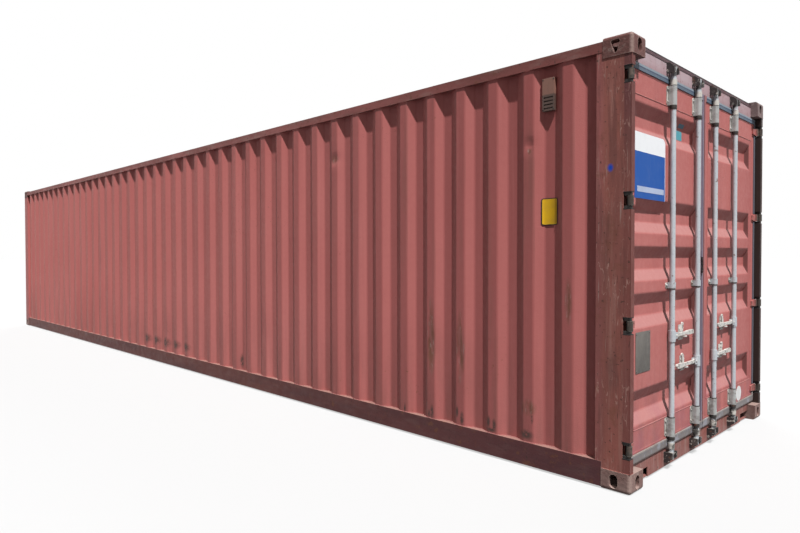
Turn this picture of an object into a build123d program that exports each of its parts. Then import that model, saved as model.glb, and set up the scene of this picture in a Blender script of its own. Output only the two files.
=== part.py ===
from build123d import *
from math import atan2, tan
import os

# Steel freight container, 40 ft long and 8 ft 6 in high, in millimetres.
# The origin is on the ground under the middle. +X is the door end, +Z is up,
# and the left side, as seen when facing the doors, is -Y.

# Overall size
LENGTH, WIDTH, HEIGHT = 12192, 2438, 2591
HALF_L, HALF_W = LENGTH / 2, WIDTH / 2

# Corner castings and the spacing of their slots
CASTING_X, CASTING_Y, CASTING_Z = 178, 162, 118
SLOT_SPACING_X, SLOT_SPACING_Y = 11985, 2259
SLOT_LENGTH, SLOT_WIDTH = 124.5, 63.5
APERTURE_TALL, APERTURE_WIDE = 79.5, 51
SIDE_APERTURE_FROM_END = 102
CASTING_WALL, CASTING_SLOT_WALL, CASTING_BACK_WALL = 20, 28, 12
CASTING_ROUND = 22
SHIELD_HALF, SHIELD_HEAD, SHIELD_SHOULDER_R, SHIELD_TIP_R = 26, 32, 12, 11
CASTING_IN_X = HALF_L - CASTING_X
CASTING_IN_Y = HALF_W - CASTING_Y
CASTING_TOP_Z = HEIGHT - CASTING_Z

# Side rails
RAIL_FACE_Y = 1217
TOP_RAIL, TOP_RAIL_WALL = 60, 3
TOP_RAIL_Z0 = 2510
TOP_RAIL_Z1 = TOP_RAIL_Z0 + TOP_RAIL
BOTTOM_RAIL_Z0, BOTTOM_RAIL_Z1 = 12, 158
BOTTOM_RAIL_WALL = 4.5
BOTTOM_RAIL_TOP_FLANGE, BOTTOM_RAIL_LOW_FLANGE = 48, 30

# Posts
POST_FACE_Y = 1215
POST_WALL = 6
REAR_POST_X0, REAR_POST_X1 = 5880, 6090
REAR_POST_IN_Y = 1172
REAR_POST_WEB_X0, REAR_POST_WEB_X1 = 6023, 6035
DOOR_STOP_X0, DOOR_STOP_X1, DOOR_STOP_Y = 5954, 5966, 1130
DOOR_STOP_Z0, DOOR_STOP_Z1 = 172, 2460
FRONT_POST_X0, FRONT_POST_X1 = -6092, -CASTING_IN_X
FRONT_POST_IN_Y = CASTING_IN_Y
FRONT_POST_BEND = ((FRONT_POST_X1, 1168), (-6038, FRONT_POST_IN_Y))

# Corrugated sheet of the side walls
SHEET = 2
SIDE_FACE_Y = 1212
SIDE_CREST, SIDE_RUN, SIDE_FLOOR, SIDE_DEPTH = 72, 68, 70, 36
SIDE_PITCH = SIDE_CREST + SIDE_FLOOR + 2 * SIDE_RUN
SIDE_CRESTS = 42
LAST_CREST_X = 5693

# Corrugated sheet of the front wall
FRONT_FACE_X = -6088
FRONT_CREST, FRONT_RUN, FRONT_DEPTH, FRONT_PITCH = 110, 18, 45, 250
FRONT_CRESTS = 8

# Roof sheet with ribs pressed up across it
ROOF_Z = 2566
ROOF_HALF_Y = RAIL_FACE_Y - TOP_RAIL
RIB_RISE, RIB_RUN, RIB_TOP, RIB_PITCH = 16, 18, 91, 209
RIBS = 56
RIB_HALF_Y = 1040

# End frames
HEADER_X0, HEADER_X1 = 5935, 6042
HEADER_Z0, HEADER_Z1 = 2466, 2575
HEADER_WALL = 4
DRIP_X1, DRIP_TALL = 6045, 24
SILL_X0, SILL_X1, SILL_Z1 = 5930, 6040, 130
SILL_RAMP_X, SILL_RAMP_UNDER_Z = 5965, 149
SILL_WALL, SILL_FLANGE = 6, 75
SILL_NOTCH_Y, SILL_NOTCH_Z = 190, 60
CORNER_FILL_X0 = 5955
FRONT_RAIL_X1 = FRONT_POST_X0 + TOP_RAIL
FRONT_SILL_X1 = -5990
ROOF_PLATE = 3

# Floor and what carries it
MEMBER_Z0, MEMBER_Z1, MEMBER_WIDE, MEMBER_WALL = 17, 139, 45, 4
MEMBER_PITCH = 305
MEMBER_LAST_X, MEMBERS = 5840, 29
BOARD_Z1 = 167
BOARDS_PER_ROW, BOARD_GAP = 5, 2
BOARD_IN_Y, BOARD_OUT_Y = 26, 1165
FLOOR_X0, FLOOR_X1 = -6038, 5928
CENTRE_RAIL_HALF_Y = 25
TUNNEL_X1, TUNNEL_HALF_Y, TUNNEL_WALL = -2780, 515, 6
TUNNEL_Z0, TUNNEL_Z1 = 120, 124
OUTRIGGERS, OUTRIGGER_FIRST_X = 10, -5840

# Ventilator boxes in two troughs of the side walls
VENT_HALF_BACK, VENT_HALF_FRONT, VENT_STEP = 33, 42, 8
VENT_DEEP, VENT_Z0, VENT_Z1 = 28, 2240, 2440
LOUVRES, LOUVRE_TALL, LOUVRE_DEEP, LOUVRE_PITCH = 4, 9, 12, 22

# Doors
LEAF_X0, LEAF_X1 = 5994, 6044
LEAF_Y0, LEAF_Y1, LEAF_Z0, LEAF_Z1 = 20, 1150, 170, 2440
SEAM_TUBE_Y1, HINGE_TUBE_Y0 = 84, 1084
LOW_CHANNEL_Z1, TOP_CHANNEL_Z0 = 328, 2282
LEAF_WALL = 3.2
TROUGH_HEIGHTS = (455, 1022, 1297, 1573, 2140)
TROUGH_TALL, TROUGH_RUN, TROUGH_END_RUN, TROUGH_DEPTH = 206, 68, 12, 36
TROUGH_Y0, TROUGH_Y1 = 101, 1026
GASKET_X0, GASKET_X1 = 5992, 6043
GASKET_Y0, GASKET_Y1, GASKET_Z0, GASKET_Z1 = 7, 1163, 137, 2460
SEAM_LIP_X, SEAM_LIP_Y = 6052, 24
EDGE_LIP_X, EDGE_LIP_OVER, EDGE_LIP_Y1 = 6050, 18, 1130
HINGE_LIP_Y1, HINGE_LIP_GAP = 1158, 33

# Hinges
HINGE_X, HINGE_Y = 6078, 1197
HINGE_HEIGHTS = (248, 952, 1656, 2360)
PIN_R, KNUCKLE_R, KNUCKLE_BORE_R = 10, 17, 10.3
KNUCKLE_HALF_Z, LUG_GAP, LUG_HALF_Z = 28, 1, 45
LUG_R = 11.5
NOTCH_X0, NOTCH_HALF_Z = 6044, 50
BLADE_Y0, BLADE_THICK, BLADE_END_HALF_Z = 1088, 12, 20
BLADE_BEND_Y = 1160
BLADE_CRANK = (6070, 1182)

# Locking gear
ROD_X, ROD_R = 6071, 17
ROD_Z0, ROD_Z1 = 60, 2530
INNER_ROD_Y, OUTER_ROD_Y = 165, 590
CAM_LONG, CAM_WIDE, CAM_TALL = 48, 26, 32
CAM_Z_LOW, CAM_Z_TOP = 92, 2498
FINGER_LONG, FINGER_WIDE, FINGER_TALL = 40, 20, 10
COLLAR_R = 21
COLLARS = ((128, 165), (2411, 2446))
CHEEK_Y0, CHEEK_Y1, CHEEK_X1 = 30, 40, 6093
HOOK_Y0, HOOK_X0 = 19, 6087
KEEPER_CAM_REACH, KEEPER_SHOULDER, KEEPER_FAR_REACH = 16, 22, 52
KEEPER_NECK = 20
KEEPER_STRIP_GAP, KEEPER_STRIP_THICK = 26, 4
BRACKET_R, BRACKET_BORE_R = 21, 18
BRACKET_HALF_Y, BRACKET_BASE, BRACKET_CLIP = 45, 4, 10
BRACKETS = ((205, 322), (1141, 1179), (2287, 2407))
INNER_HANDLE_Z, OUTER_HANDLE_Z = 635, 840
HUB_R, HUB_HALF_Z = 22, 36
YOKE_REACH, YOKE_PLATE, YOKE_HALF_Z = 60, 5, 20
HANDLE_PIVOT, HANDLE_REACH = 42, 350
SHANK_HALF_Z, HANDLE_THICK, YOKE_GAP = 10, 14, 2
GRIP_LONG, GRIP_TALL, GRIP_HOLE_R = 120, 28, 6
HANDLE_PIN_R, HANDLE_BORE_R, HANDLE_EYE_R = 7, 7.4, 16
CATCH_AT, CATCH_BASE_HALF_Y, CATCH_HALF_Y = 200, 35, 20
CATCH_BASE_LOW, CATCH_BASE_HIGH = 45, 55
CATCH_GAP, CATCH_SHELF, CATCH_SHELF_X1 = 5, 8, 6088
HORN_X1, HORN_FOOT_R, HORN_FOOT_Z = 6058, 15, 8
HORN_EYE_R, HORN_HOLE_R, HORN_EYE_Y, HORN_EYE_Z = 13, 6, 12, 58


def block(x0, x1, y0, y1, z0, z1):
    """Block between two corners."""
    return Pos((x0 + x1) / 2, (y0 + y1) / 2, (z0 + z1) / 2) * Box(x1 - x0, y1 - y0, z1 - z0)


def outline(points):
    """Closed face through points of a plane."""
    return make_face(Polyline(*points, close=True))


def upright(face, z0, z1):
    """Plan shape raised from z0 to z1."""
    return Pos(0, 0, z0) * extrude(face, z1 - z0)


def along_x(points, x0, x1):
    """Section of (y, z) points run along X."""
    return Pos(x0, 0, 0) * extrude(Plane.YZ * outline(points), x1 - x0)


def along_y(points, y0, y1):
    """Section of (x, z) points run along Y."""
    return Pos(0, y0, 0) * extrude(Plane.XZ * outline(points), y1 - y0, dir=(0, 1, 0))


def other_side(part):
    """Copy on the opposite long side."""
    return mirror(part, about=Plane.XZ)


def both_sides(part):
    return [part, other_side(part)]


def save(node, *parts):
    """One STEP file with every solid of a node."""
    solids = [solid for part in parts for solid in part.solids()]
    export_step(Compound(solids), f"parts/{node}.step")


def corrugation(first, last, crests, crest, run, depth, inset):
    """Points along a trapezoidal sheet, inset below its outer surface."""
    lean = inset * tan(atan2(depth, run) / 2)
    low = -depth - inset
    points = [(first, low)]
    for middle in crests:
        points.append((middle - crest / 2 - run + lean, low))
        points.append((middle - crest / 2 + lean, -inset))
        points.append((middle + crest / 2 - lean, -inset))
        points.append((middle + crest / 2 + run - lean, low))
    points.append((last, low))
    return points


def corrugated_sheet(first, last, crests, crest, run, depth):
    """Section of a sheet as (along, outward) points."""
    outer = corrugation(first, last, crests, crest, run, depth, 0)
    inner = corrugation(first, last, crests, crest, run, depth, SHEET)
    return outer + inner[::-1]


def frustum(width, height, run_x, run_y, depth):
    """Pressed form on XY: a rectangle that narrows by its runs over depth, along +Z."""
    base = Rectangle(width, height)
    top = Pos(0, 0, depth) * Rectangle(width - 2 * run_x, height - 2 * run_y)
    return loft([base, top])


def pressed_forms(width, height, run_x, run_y, depth):
    """The solid that a pressing adds to a sheet, and the hollow behind it."""
    lean_x, lean_y = (SHEET * tan(atan2(depth, run) / 2) for run in (run_x, run_y))
    added = frustum(width + 2 * lean_x, height + 2 * lean_y, run_x, run_y, depth)
    hollow = frustum(width, height, run_x, run_y, depth)
    return added, hollow


def oval_aperture():
    return Rot(0, 0, 90) * SlotOverall(APERTURE_TALL, APERTURE_WIDE)


def shield_aperture():
    """Hole with a wide rounded end, drawn with its narrow end up."""
    x, y = SHIELD_HALF - SHIELD_SHOULDER_R, SHIELD_SHOULDER_R - SHIELD_HEAD
    left, right = (Pos(place, y) * Circle(SHIELD_SHOULDER_R) for place in (-x, x))
    tip = Pos(0, APERTURE_TALL / 2 - SHIELD_TIP_R) * Circle(SHIELD_TIP_R)
    return make_hull(left.edges() + right.edges() + tip.edges())


def corner_casting(side_aperture):
    """Bottom casting of the rear right corner, its free corner rounded."""
    x, y = SLOT_SPACING_X / 2, SLOT_SPACING_Y / 2
    middle_z = CASTING_Z / 2
    body = block(CASTING_IN_X, HALF_L, CASTING_IN_Y, HALF_W, 0, CASTING_Z)
    corner = body.vertices().sort_by_distance((HALF_L, HALF_W, 0))[0]
    free = [edge for edge in body.edges() if corner in edge.vertices()]
    body = fillet(free, CASTING_ROUND)
    body -= block(
        CASTING_IN_X + CASTING_BACK_WALL, HALF_L - CASTING_WALL,
        CASTING_IN_Y + CASTING_BACK_WALL, HALF_W - CASTING_WALL,
        CASTING_SLOT_WALL, CASTING_Z - CASTING_BACK_WALL,
    )
    body -= upright(Pos(x, y) * SlotOverall(SLOT_LENGTH, SLOT_WIDTH), 0, CASTING_SLOT_WALL)
    end_hole = extrude(Plane.YZ * oval_aperture(), CASTING_WALL)
    body -= Pos(HALF_L - CASTING_WALL, y, middle_z) * end_hole
    side_hole = extrude(Plane.XZ * side_aperture, CASTING_WALL, dir=(0, 1, 0))
    body -= Pos(HALF_L - SIDE_APERTURE_FROM_END, HALF_W - CASTING_WALL, middle_z) * side_hole
    return body


def castings(casting):
    """A casting at each of the four corners."""
    rear = both_sides(casting)
    return rear + [mirror(part, about=Plane.YZ) for part in rear]


def top_side_rail():
    z0, z1 = TOP_RAIL_Z0, TOP_RAIL_Z1
    tube = block(-CASTING_IN_X, CASTING_IN_X, ROOF_HALF_Y, RAIL_FACE_Y, z0, z1)
    wall = TOP_RAIL_WALL
    return tube - block(
        -CASTING_IN_X, CASTING_IN_X, ROOF_HALF_Y + wall, RAIL_FACE_Y - wall, z0 + wall, z1 - wall
    )


def bottom_side_rail():
    face, wall = RAIL_FACE_Y, BOTTOM_RAIL_WALL
    z0, z1 = BOTTOM_RAIL_Z0, BOTTOM_RAIL_Z1
    low, top = face - BOTTOM_RAIL_LOW_FLANGE, face - BOTTOM_RAIL_TOP_FLANGE
    section = [
        (low, z0), (face, z0), (face, z1), (top, z1),
        (top, z1 - wall), (face - wall, z1 - wall), (face - wall, z0 + wall), (low, z0 + wall),
    ]
    return along_x(section, -CASTING_IN_X, CASTING_IN_X)


def rear_post():
    """Box post with an inner web that carries the hinge lugs, and a door stop."""
    y0, y1, wall = REAR_POST_IN_Y, POST_FACE_Y, POST_WALL
    z0, z1 = CASTING_Z, TOP_RAIL_Z0
    post = block(REAR_POST_X0, REAR_POST_X1, y0, y1, z0, z1)
    post -= block(REAR_POST_X0 + wall, REAR_POST_WEB_X0, y0 + wall, y1 - wall, z0, z1)
    post -= block(REAR_POST_WEB_X1, REAR_POST_X1 - wall, y0 + wall, y1 - wall, z0, z1)
    post -= block(REAR_POST_X0, CASTING_IN_X, y0, y1, z0, BOTTOM_RAIL_Z1)
    post -= block(CASTING_IN_X, REAR_POST_X1, y0, y1, CASTING_TOP_Z, z1)
    for z in HINGE_HEIGHTS:
        post -= block(NOTCH_X0, HALF_L, y0, y1, z - NOTCH_HALF_Z, z + NOTCH_HALF_Z)
    stop = block(DOOR_STOP_X0, DOOR_STOP_X1, DOOR_STOP_Y, y0, DOOR_STOP_Z0, DOOR_STOP_Z1)
    return post + stop


def front_post():
    x0, x1, inner, face = FRONT_POST_X0, FRONT_POST_X1, FRONT_POST_IN_Y, POST_FACE_Y
    plan = outline([(x0, face), (x1, face), *FRONT_POST_BEND, (x0, inner)])
    hollow = offset(plan, -POST_WALL, kind=Kind.INTERSECTION)
    return upright(plan, CASTING_Z, CASTING_TOP_Z) - upright(hollow, CASTING_Z, CASTING_TOP_Z)


def side_wall():
    """Right wall: vertical corrugations between the posts."""
    crests = [LAST_CREST_X - SIDE_PITCH * i for i in reversed(range(SIDE_CRESTS))]
    sheet = corrugated_sheet(
        FRONT_POST_X1, REAR_POST_X0, crests, SIDE_CREST, SIDE_RUN, SIDE_DEPTH
    )
    plan = outline([(x, SIDE_FACE_Y + out) for x, out in sheet])
    return upright(plan, BOTTOM_RAIL_Z1, TOP_RAIL_Z0)


def front_wall():
    middle = (FRONT_CRESTS - 1) / 2
    crests = [FRONT_PITCH * (i - middle) for i in range(FRONT_CRESTS)]
    sheet = corrugated_sheet(
        -FRONT_POST_IN_Y, FRONT_POST_IN_Y, crests, FRONT_CREST, FRONT_RUN, FRONT_DEPTH
    )
    plan = outline([(FRONT_FACE_X - out, y) for y, out in sheet])
    return upright(plan, MEMBER_Z1, TOP_RAIL_Z0)


def roof():
    """Flat sheet with ribs pressed up between the top rails."""
    sheet = block(-CASTING_IN_X, CASTING_IN_X, -ROOF_HALF_Y, ROOF_HALF_Y, ROOF_Z, ROOF_Z + SHEET)
    wide = RIB_TOP + 2 * RIB_RUN
    added, hollow = pressed_forms(wide, 2 * RIB_HALF_Y, RIB_RUN, RIB_RUN, RIB_RISE)
    places = [RIB_PITCH * (i - (RIBS - 1) / 2) for i in range(RIBS)]
    sheet += [Pos(x, 0, ROOF_Z + SHEET) * added for x in places]
    return sheet - [Pos(x, 0, ROOF_Z) * hollow for x in places]


def door_header():
    """Box beam with a drip strip along its top edge and a filler beside each casting."""
    x0, x1, z0, z1, wall = HEADER_X0, HEADER_X1, HEADER_Z0, HEADER_Z1, HEADER_WALL
    y = CASTING_IN_Y
    beam = block(x0, x1, -y, y, z0, z1)
    beam -= block(x0 + wall, x1 - wall, -y, y, z0 + wall, z1 - wall)
    beam += block(x1, DRIP_X1, -y, y, z1 - DRIP_TALL, z1)
    beam += block(CASTING_IN_X, x0, -y, y, ROOF_Z, ROOF_Z + ROOF_PLATE)
    fill = block(CORNER_FILL_X0, x1, y, REAR_POST_IN_Y, z0, CASTING_TOP_Z)
    return beam + both_sides(fill)


def door_sill():
    """Channel sill with a ramp up to the floor and a notch beside each casting."""
    x0, x1, z0, z1, wall = SILL_X0, SILL_X1, BOTTOM_RAIL_Z0, SILL_Z1, SILL_WALL
    y, ramp = CASTING_IN_Y, SILL_RAMP_X
    sill = along_y([(x0, z0), (x1, z0), (x1, z1), (ramp, z1), (x0, BOARD_Z1)], -y, y)
    sill -= along_y(
        [(x0 + wall, z0), (x1 - wall, z0), (x1 - wall, z1 - wall), (ramp, z1 - wall),
         (x0 + wall, SILL_RAMP_UNDER_Z)],
        -y, y,
    )
    sill += block(x1 - SILL_FLANGE, x1 - wall, -y, y, z0, z0 + wall)
    notch = block(x1 - wall, x1, y - SILL_NOTCH_Y, y, z0, z0 + SILL_NOTCH_Z)
    fill = block(CORNER_FILL_X0, x1, y, REAR_POST_IN_Y, CASTING_Z, z1)
    return sill - both_sides(notch) + both_sides(fill)


def front_header():
    x0, x1, z0, z1, wall = FRONT_POST_X0, FRONT_RAIL_X1, TOP_RAIL_Z0, TOP_RAIL_Z1, TOP_RAIL_WALL
    y = CASTING_IN_Y
    beam = block(x0, x1, -y, y, z0, z1)
    beam -= block(x0 + wall, x1 - wall, -y, y, z0 + wall, z1 - wall)
    return beam + block(x1, -CASTING_IN_X, -y, y, ROOF_Z, ROOF_Z + ROOF_PLATE)


def front_sill():
    """Right half, between the casting and the tunnel."""
    x0, x1, z0, z1, wall = FRONT_POST_X0, FRONT_SILL_X1, BOTTOM_RAIL_Z0, MEMBER_Z1, SILL_WALL
    y0, y1 = TUNNEL_HALF_Y, CASTING_IN_Y
    box = block(x0, x1, y0, y1, z0, z1)
    return box - block(x0 + wall, x1 - wall, y0, y1, z0 + wall, z1 - wall)


def cross_member(x, y0, y1):
    """Channel that opens to the front."""
    x0, x1, z0, z1, wall = x - MEMBER_WIDE, x, MEMBER_Z0, MEMBER_Z1, MEMBER_WALL
    section = [
        (x0, z0), (x1, z0), (x1, z1), (x0, z1),
        (x0, z1 - wall), (x1 - wall, z1 - wall), (x1 - wall, z0 + wall), (x0, z0 + wall),
    ]
    return along_y(section, y0, y1)


def tunnel():
    """Recess for a chassis gooseneck under the front of the floor."""
    y, inner = TUNNEL_HALF_Y, TUNNEL_HALF_Y - TUNNEL_WALL
    section = [
        (-y, MEMBER_Z0), (-inner, MEMBER_Z0), (-inner, TUNNEL_Z0), (inner, TUNNEL_Z0),
        (inner, MEMBER_Z0), (y, MEMBER_Z0), (y, TUNNEL_Z1), (-y, TUNNEL_Z1),
    ]
    return along_x(section, FRONT_POST_X0, TUNNEL_X1)


def tunnel_bow(x):
    return block(x - MEMBER_WIDE, x, -TUNNEL_HALF_Y, TUNNEL_HALF_Y, TUNNEL_Z1, MEMBER_Z1)


def floor_boards():
    """Right row of plywood boards, the first one cut round the front post."""
    length = (FLOOR_X1 - FLOOR_X0) / BOARDS_PER_ROW
    boards = []
    for i in range(BOARDS_PER_ROW):
        x0 = FLOOR_X0 + i * length
        board = block(x0, x0 + length - BOARD_GAP, BOARD_IN_Y, BOARD_OUT_Y, MEMBER_Z1, BOARD_Z1)
        boards.append(board)
    corner = block(FLOOR_X0, -CASTING_IN_X, CASTING_IN_Y, BOARD_OUT_Y, MEMBER_Z1, BOARD_Z1)
    boards[0] -= corner
    return boards


def ventilator(x):
    """Louvred box in a trough of the right wall."""
    back = SIDE_FACE_Y - SIDE_DEPTH
    front = back + VENT_DEEP
    plan = [
        (x - VENT_HALF_BACK, back), (x + VENT_HALF_BACK, back),
        (x + VENT_HALF_FRONT, back + VENT_STEP), (x + VENT_HALF_FRONT, front),
        (x - VENT_HALF_FRONT, front), (x - VENT_HALF_FRONT, back + VENT_STEP),
    ]
    box = upright(outline(plan), VENT_Z0, VENT_Z1)
    half = VENT_HALF_BACK
    for i in range(LOUVRES):
        z = VENT_Z0 + LOUVRE_PITCH * (i + 0.5)
        box -= block(x - half, x + half, front - LOUVRE_DEEP, front, z, z + LOUVRE_TALL)
    return box


def door_frame():
    """Tubes at the seam and hinge edges, channels at the head and foot."""
    x0, x1, y0, y1, z0, z1 = LEAF_X0, LEAF_X1, LEAF_Y0, LEAF_Y1, LEAF_Z0, LEAF_Z1
    wall = LEAF_WALL
    frame = block(x0, x1, y0, y1, z0, z1)
    frame -= block(x0, x1, SEAM_TUBE_Y1, HINGE_TUBE_Y0, LOW_CHANNEL_Z1, TOP_CHANNEL_Z0)
    for tube_y0, tube_y1 in ((y0, SEAM_TUBE_Y1), (HINGE_TUBE_Y0, y1)):
        frame -= block(x0 + wall, x1 - wall, tube_y0 + wall, tube_y1 - wall, z0, z1)
    for low, high in ((z0, LOW_CHANNEL_Z1), (TOP_CHANNEL_Z0, z1)):
        frame -= block(x0, x1 - wall, SEAM_TUBE_Y1, HINGE_TUBE_Y0, low + wall, high - wall)
    return frame


def door_panel():
    """Sheet with five wide troughs pressed inwards, steep at their ends."""
    y_middle, wide = (TROUGH_Y0 + TROUGH_Y1) / 2, TROUGH_Y1 - TROUGH_Y0
    panel = block(LEAF_X1 - SHEET, LEAF_X1, SEAM_TUBE_Y1, HINGE_TUBE_Y0, LOW_CHANNEL_Z1, TOP_CHANNEL_Z0)
    added, hollow = pressed_forms(wide, TROUGH_TALL, TROUGH_END_RUN, TROUGH_RUN, TROUGH_DEPTH)
    inward = Plane(origin=(0, 0, 0), x_dir=(0, 1, 0), z_dir=(-1, 0, 0))
    for z in TROUGH_HEIGHTS:
        panel += Pos(LEAF_X1 - SHEET, y_middle, z) * (inward * added)
    for z in TROUGH_HEIGHTS:
        panel -= Pos(LEAF_X1, y_middle, z) * (inward * hollow)
    return panel


def door_gasket():
    """Ring round the leaf with lips over its face, cut away at the hinges."""
    x0, x1 = GASKET_X0, GASKET_X1
    y0, y1, z0, z1 = GASKET_Y0, GASKET_Y1, GASKET_Z0, GASKET_Z1
    ring = block(x0, x1, y0, y1, z0, z1)
    ring -= block(x0, x1, LEAF_Y0, LEAF_Y1, LEAF_Z0, LEAF_Z1)
    ring += block(x1, SEAM_LIP_X, y0, LEAF_Y0, z0, z1)
    ring += block(LEAF_X1, SEAM_LIP_X, LEAF_Y0, SEAM_LIP_Y, z0, z1)
    for edge, over in ((z0, LEAF_Z0 + EDGE_LIP_OVER), (z1, LEAF_Z1 - EDGE_LIP_OVER)):
        leaf_edge = LEAF_Z0 if edge == z0 else LEAF_Z1
        ring += block(x1, LEAF_X1, y0, EDGE_LIP_Y1, min(edge, leaf_edge), max(edge, leaf_edge))
        ring += block(LEAF_X1, EDGE_LIP_X, y0, EDGE_LIP_Y1, min(edge, over), max(edge, over))
    lip = block(LEAF_X1, EDGE_LIP_X, EDGE_LIP_Y1, LEAF_Y1, z0, z1)
    lip += block(x1, EDGE_LIP_X, LEAF_Y1, HINGE_LIP_Y1, z0, z1)
    for z in HINGE_HEIGHTS:
        lip -= block(x1, EDGE_LIP_X, EDGE_LIP_Y1, HINGE_LIP_Y1, z - HINGE_LIP_GAP, z + HINGE_LIP_GAP)
    return ring + lip


def hinge_blade(z):
    """Tapered strap on the leaf, cranked out to the knuckle round its pin."""
    face, thick = LEAF_X1, BLADE_THICK
    strap = outline([
        (face, BLADE_Y0), (face + thick, BLADE_Y0), (face + thick, BLADE_BEND_Y), BLADE_CRANK,
        (HINGE_X, HINGE_Y), (HINGE_X - KNUCKLE_R, HINGE_Y), (face, BLADE_BEND_Y),
    ])
    knuckle = Pos(HINGE_X, HINGE_Y) * Circle(KNUCKLE_R)
    bore = Pos(HINGE_X, HINGE_Y) * Circle(KNUCKLE_BORE_R)
    half, end = KNUCKLE_HALF_Z, BLADE_END_HALF_Z
    blade = upright(strap + knuckle - bore, z - half, z + half)
    taper = [
        (BLADE_Y0, z - end), (BLADE_BEND_Y, z - half), (HALF_W, z - half),
        (HALF_W, z + half), (BLADE_BEND_Y, z + half), (BLADE_Y0, z + end),
    ]
    return blade & along_x(taper, face, HALF_L)


def hinge_lugs(z):
    """Two lugs of the post with the pin through them."""
    plan = Pos(HINGE_X, HINGE_Y) * Circle(LUG_R)
    reach = HINGE_X - REAR_POST_WEB_X1
    plan += Pos(HINGE_X - reach / 2, HINGE_Y) * Rectangle(reach, 2 * LUG_R)
    near = KNUCKLE_HALF_Z + LUG_GAP
    lugs = Pos(HINGE_X, HINGE_Y, z) * Cylinder(PIN_R, 2 * LUG_HALF_Z)
    lugs += upright(plan, z + near, z + LUG_HALF_Z)
    return lugs + upright(plan, z - LUG_HALF_Z, z - near)


def lock_rod(y, side, handle_z):
    """Rod with a collar and a cam near each end, and the yoke of a handle that points to side."""
    middle = (ROD_Z0 + ROD_Z1) / 2
    rod = Pos(ROD_X, y, middle) * Cylinder(ROD_R, ROD_Z1 - ROD_Z0)
    cam = Pos(ROD_X, y) * (Rot(0, 0, 90) * SlotOverall(CAM_LONG, CAM_WIDE))
    finger = Pos(ROD_X, y) * (Rot(0, 0, 90) * SlotOverall(FINGER_LONG, FINGER_WIDE))
    for z, up in ((CAM_Z_LOW, -1), (CAM_Z_TOP, 1)):
        rod += upright(cam, z - CAM_TALL / 2, z + CAM_TALL / 2)
        near, far = z + up * CAM_TALL / 2, z + up * (CAM_TALL / 2 + FINGER_TALL)
        rod += upright(finger, min(near, far), max(near, far))
    for z0, z1 in COLLARS:
        rod += upright(Pos(ROD_X, y) * Circle(COLLAR_R), z0, z1)
    rod += Pos(ROD_X, y, handle_z) * Cylinder(HUB_R, 2 * HUB_HALF_Z)
    half = HANDLE_THICK / 2 + YOKE_GAP
    near, far = sorted((y, y + side * YOKE_REACH))
    low, high = handle_z - YOKE_HALF_Z, handle_z + YOKE_HALF_Z
    for x0 in (ROD_X - half - YOKE_PLATE, ROD_X + half):
        rod += block(x0, x0 + YOKE_PLATE, near, far, low, high)
    pin = Rot(0, 90, 0) * Cylinder(HANDLE_PIN_R, 2 * (half + YOKE_PLATE))
    return rod + Pos(ROD_X, y + side * HANDLE_PIVOT, handle_z) * pin


def handle(y, side, z):
    """Flat forging with an eye on the yoke's pin, a shank and a rounded grip with a seal hole."""
    pivot = y + side * HANDLE_PIVOT
    grip_y = y + side * (HANDLE_REACH - GRIP_LONG / 2)
    hole_y = y + side * (HANDLE_REACH - GRIP_TALL / 2)
    half = SHANK_HALF_Z
    plan = Pos(pivot, z) * Circle(HANDLE_EYE_R)
    plan += outline([(pivot, z - half), (grip_y, z - half), (grip_y, z + half), (pivot, z + half)])
    plan += Pos(grip_y, z) * SlotOverall(GRIP_LONG, GRIP_TALL)
    plan -= Pos(pivot, z) * Circle(HANDLE_BORE_R) + Pos(hole_y, z) * Circle(GRIP_HOLE_R)
    return Pos(ROD_X - HANDLE_THICK / 2, 0, 0) * extrude(Plane.YZ * plan, HANDLE_THICK, dir=(1, 0, 0))


def rod_bracket(y, z0, z1):
    """Pressed saddle on a base with clipped corners, which holds a rod to the leaf."""
    reach = ROD_X - LEAF_X1
    back = Pos(ROD_X - reach / 2, y)
    plan = Pos(ROD_X, y) * Circle(BRACKET_R) + back * Rectangle(reach, 2 * BRACKET_R)
    plan -= Pos(ROD_X, y) * Circle(BRACKET_BORE_R) + back * Rectangle(reach, 2 * BRACKET_BORE_R)
    y0, y1, clip = y - BRACKET_HALF_Y, y + BRACKET_HALF_Y, BRACKET_CLIP
    base = [
        (y0 + clip, z0), (y1 - clip, z0), (y1, z0 + clip), (y1, z1 - clip),
        (y1 - clip, z1), (y0 + clip, z1), (y0, z1 - clip), (y0, z0 + clip),
    ]
    return upright(plan, z0, z1) + along_x(base, LEAF_X1, LEAF_X1 + BRACKET_BASE)


def handle_catch(y, side, z):
    """Forging on the leaf: a rounded shelf under the handle and an eyed horn behind it."""
    base_x1 = LEAF_X1 + BRACKET_BASE
    catch = block(
        LEAF_X1, base_x1, y - CATCH_BASE_HALF_Y, y + CATCH_BASE_HALF_Y,
        z - CATCH_BASE_LOW, z + CATCH_BASE_HIGH,
    )
    shelf_z1 = z - SHANK_HALF_Z - CATCH_GAP
    front = CATCH_SHELF_X1 - CATCH_HALF_Y
    shelf = Pos((base_x1 + front) / 2, y) * Rectangle(front - base_x1, 2 * CATCH_HALF_Y)
    shelf += Pos(front, y) * Circle(CATCH_HALF_Y)
    catch += upright(shelf, shelf_z1 - CATCH_SHELF, shelf_z1)
    foot = Pos(y, z + HORN_FOOT_Z) * Circle(HORN_FOOT_R)
    eye = Pos(y + side * HORN_EYE_Y, z + HORN_EYE_Z)
    horn = make_hull(foot.edges() + (eye * Circle(HORN_EYE_R)).edges()) - eye * Circle(HORN_HOLE_R)
    return catch + Pos(base_x1, 0, 0) * extrude(Plane.YZ * horn, HORN_X1 - base_x1, dir=(1, 0, 0))


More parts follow.
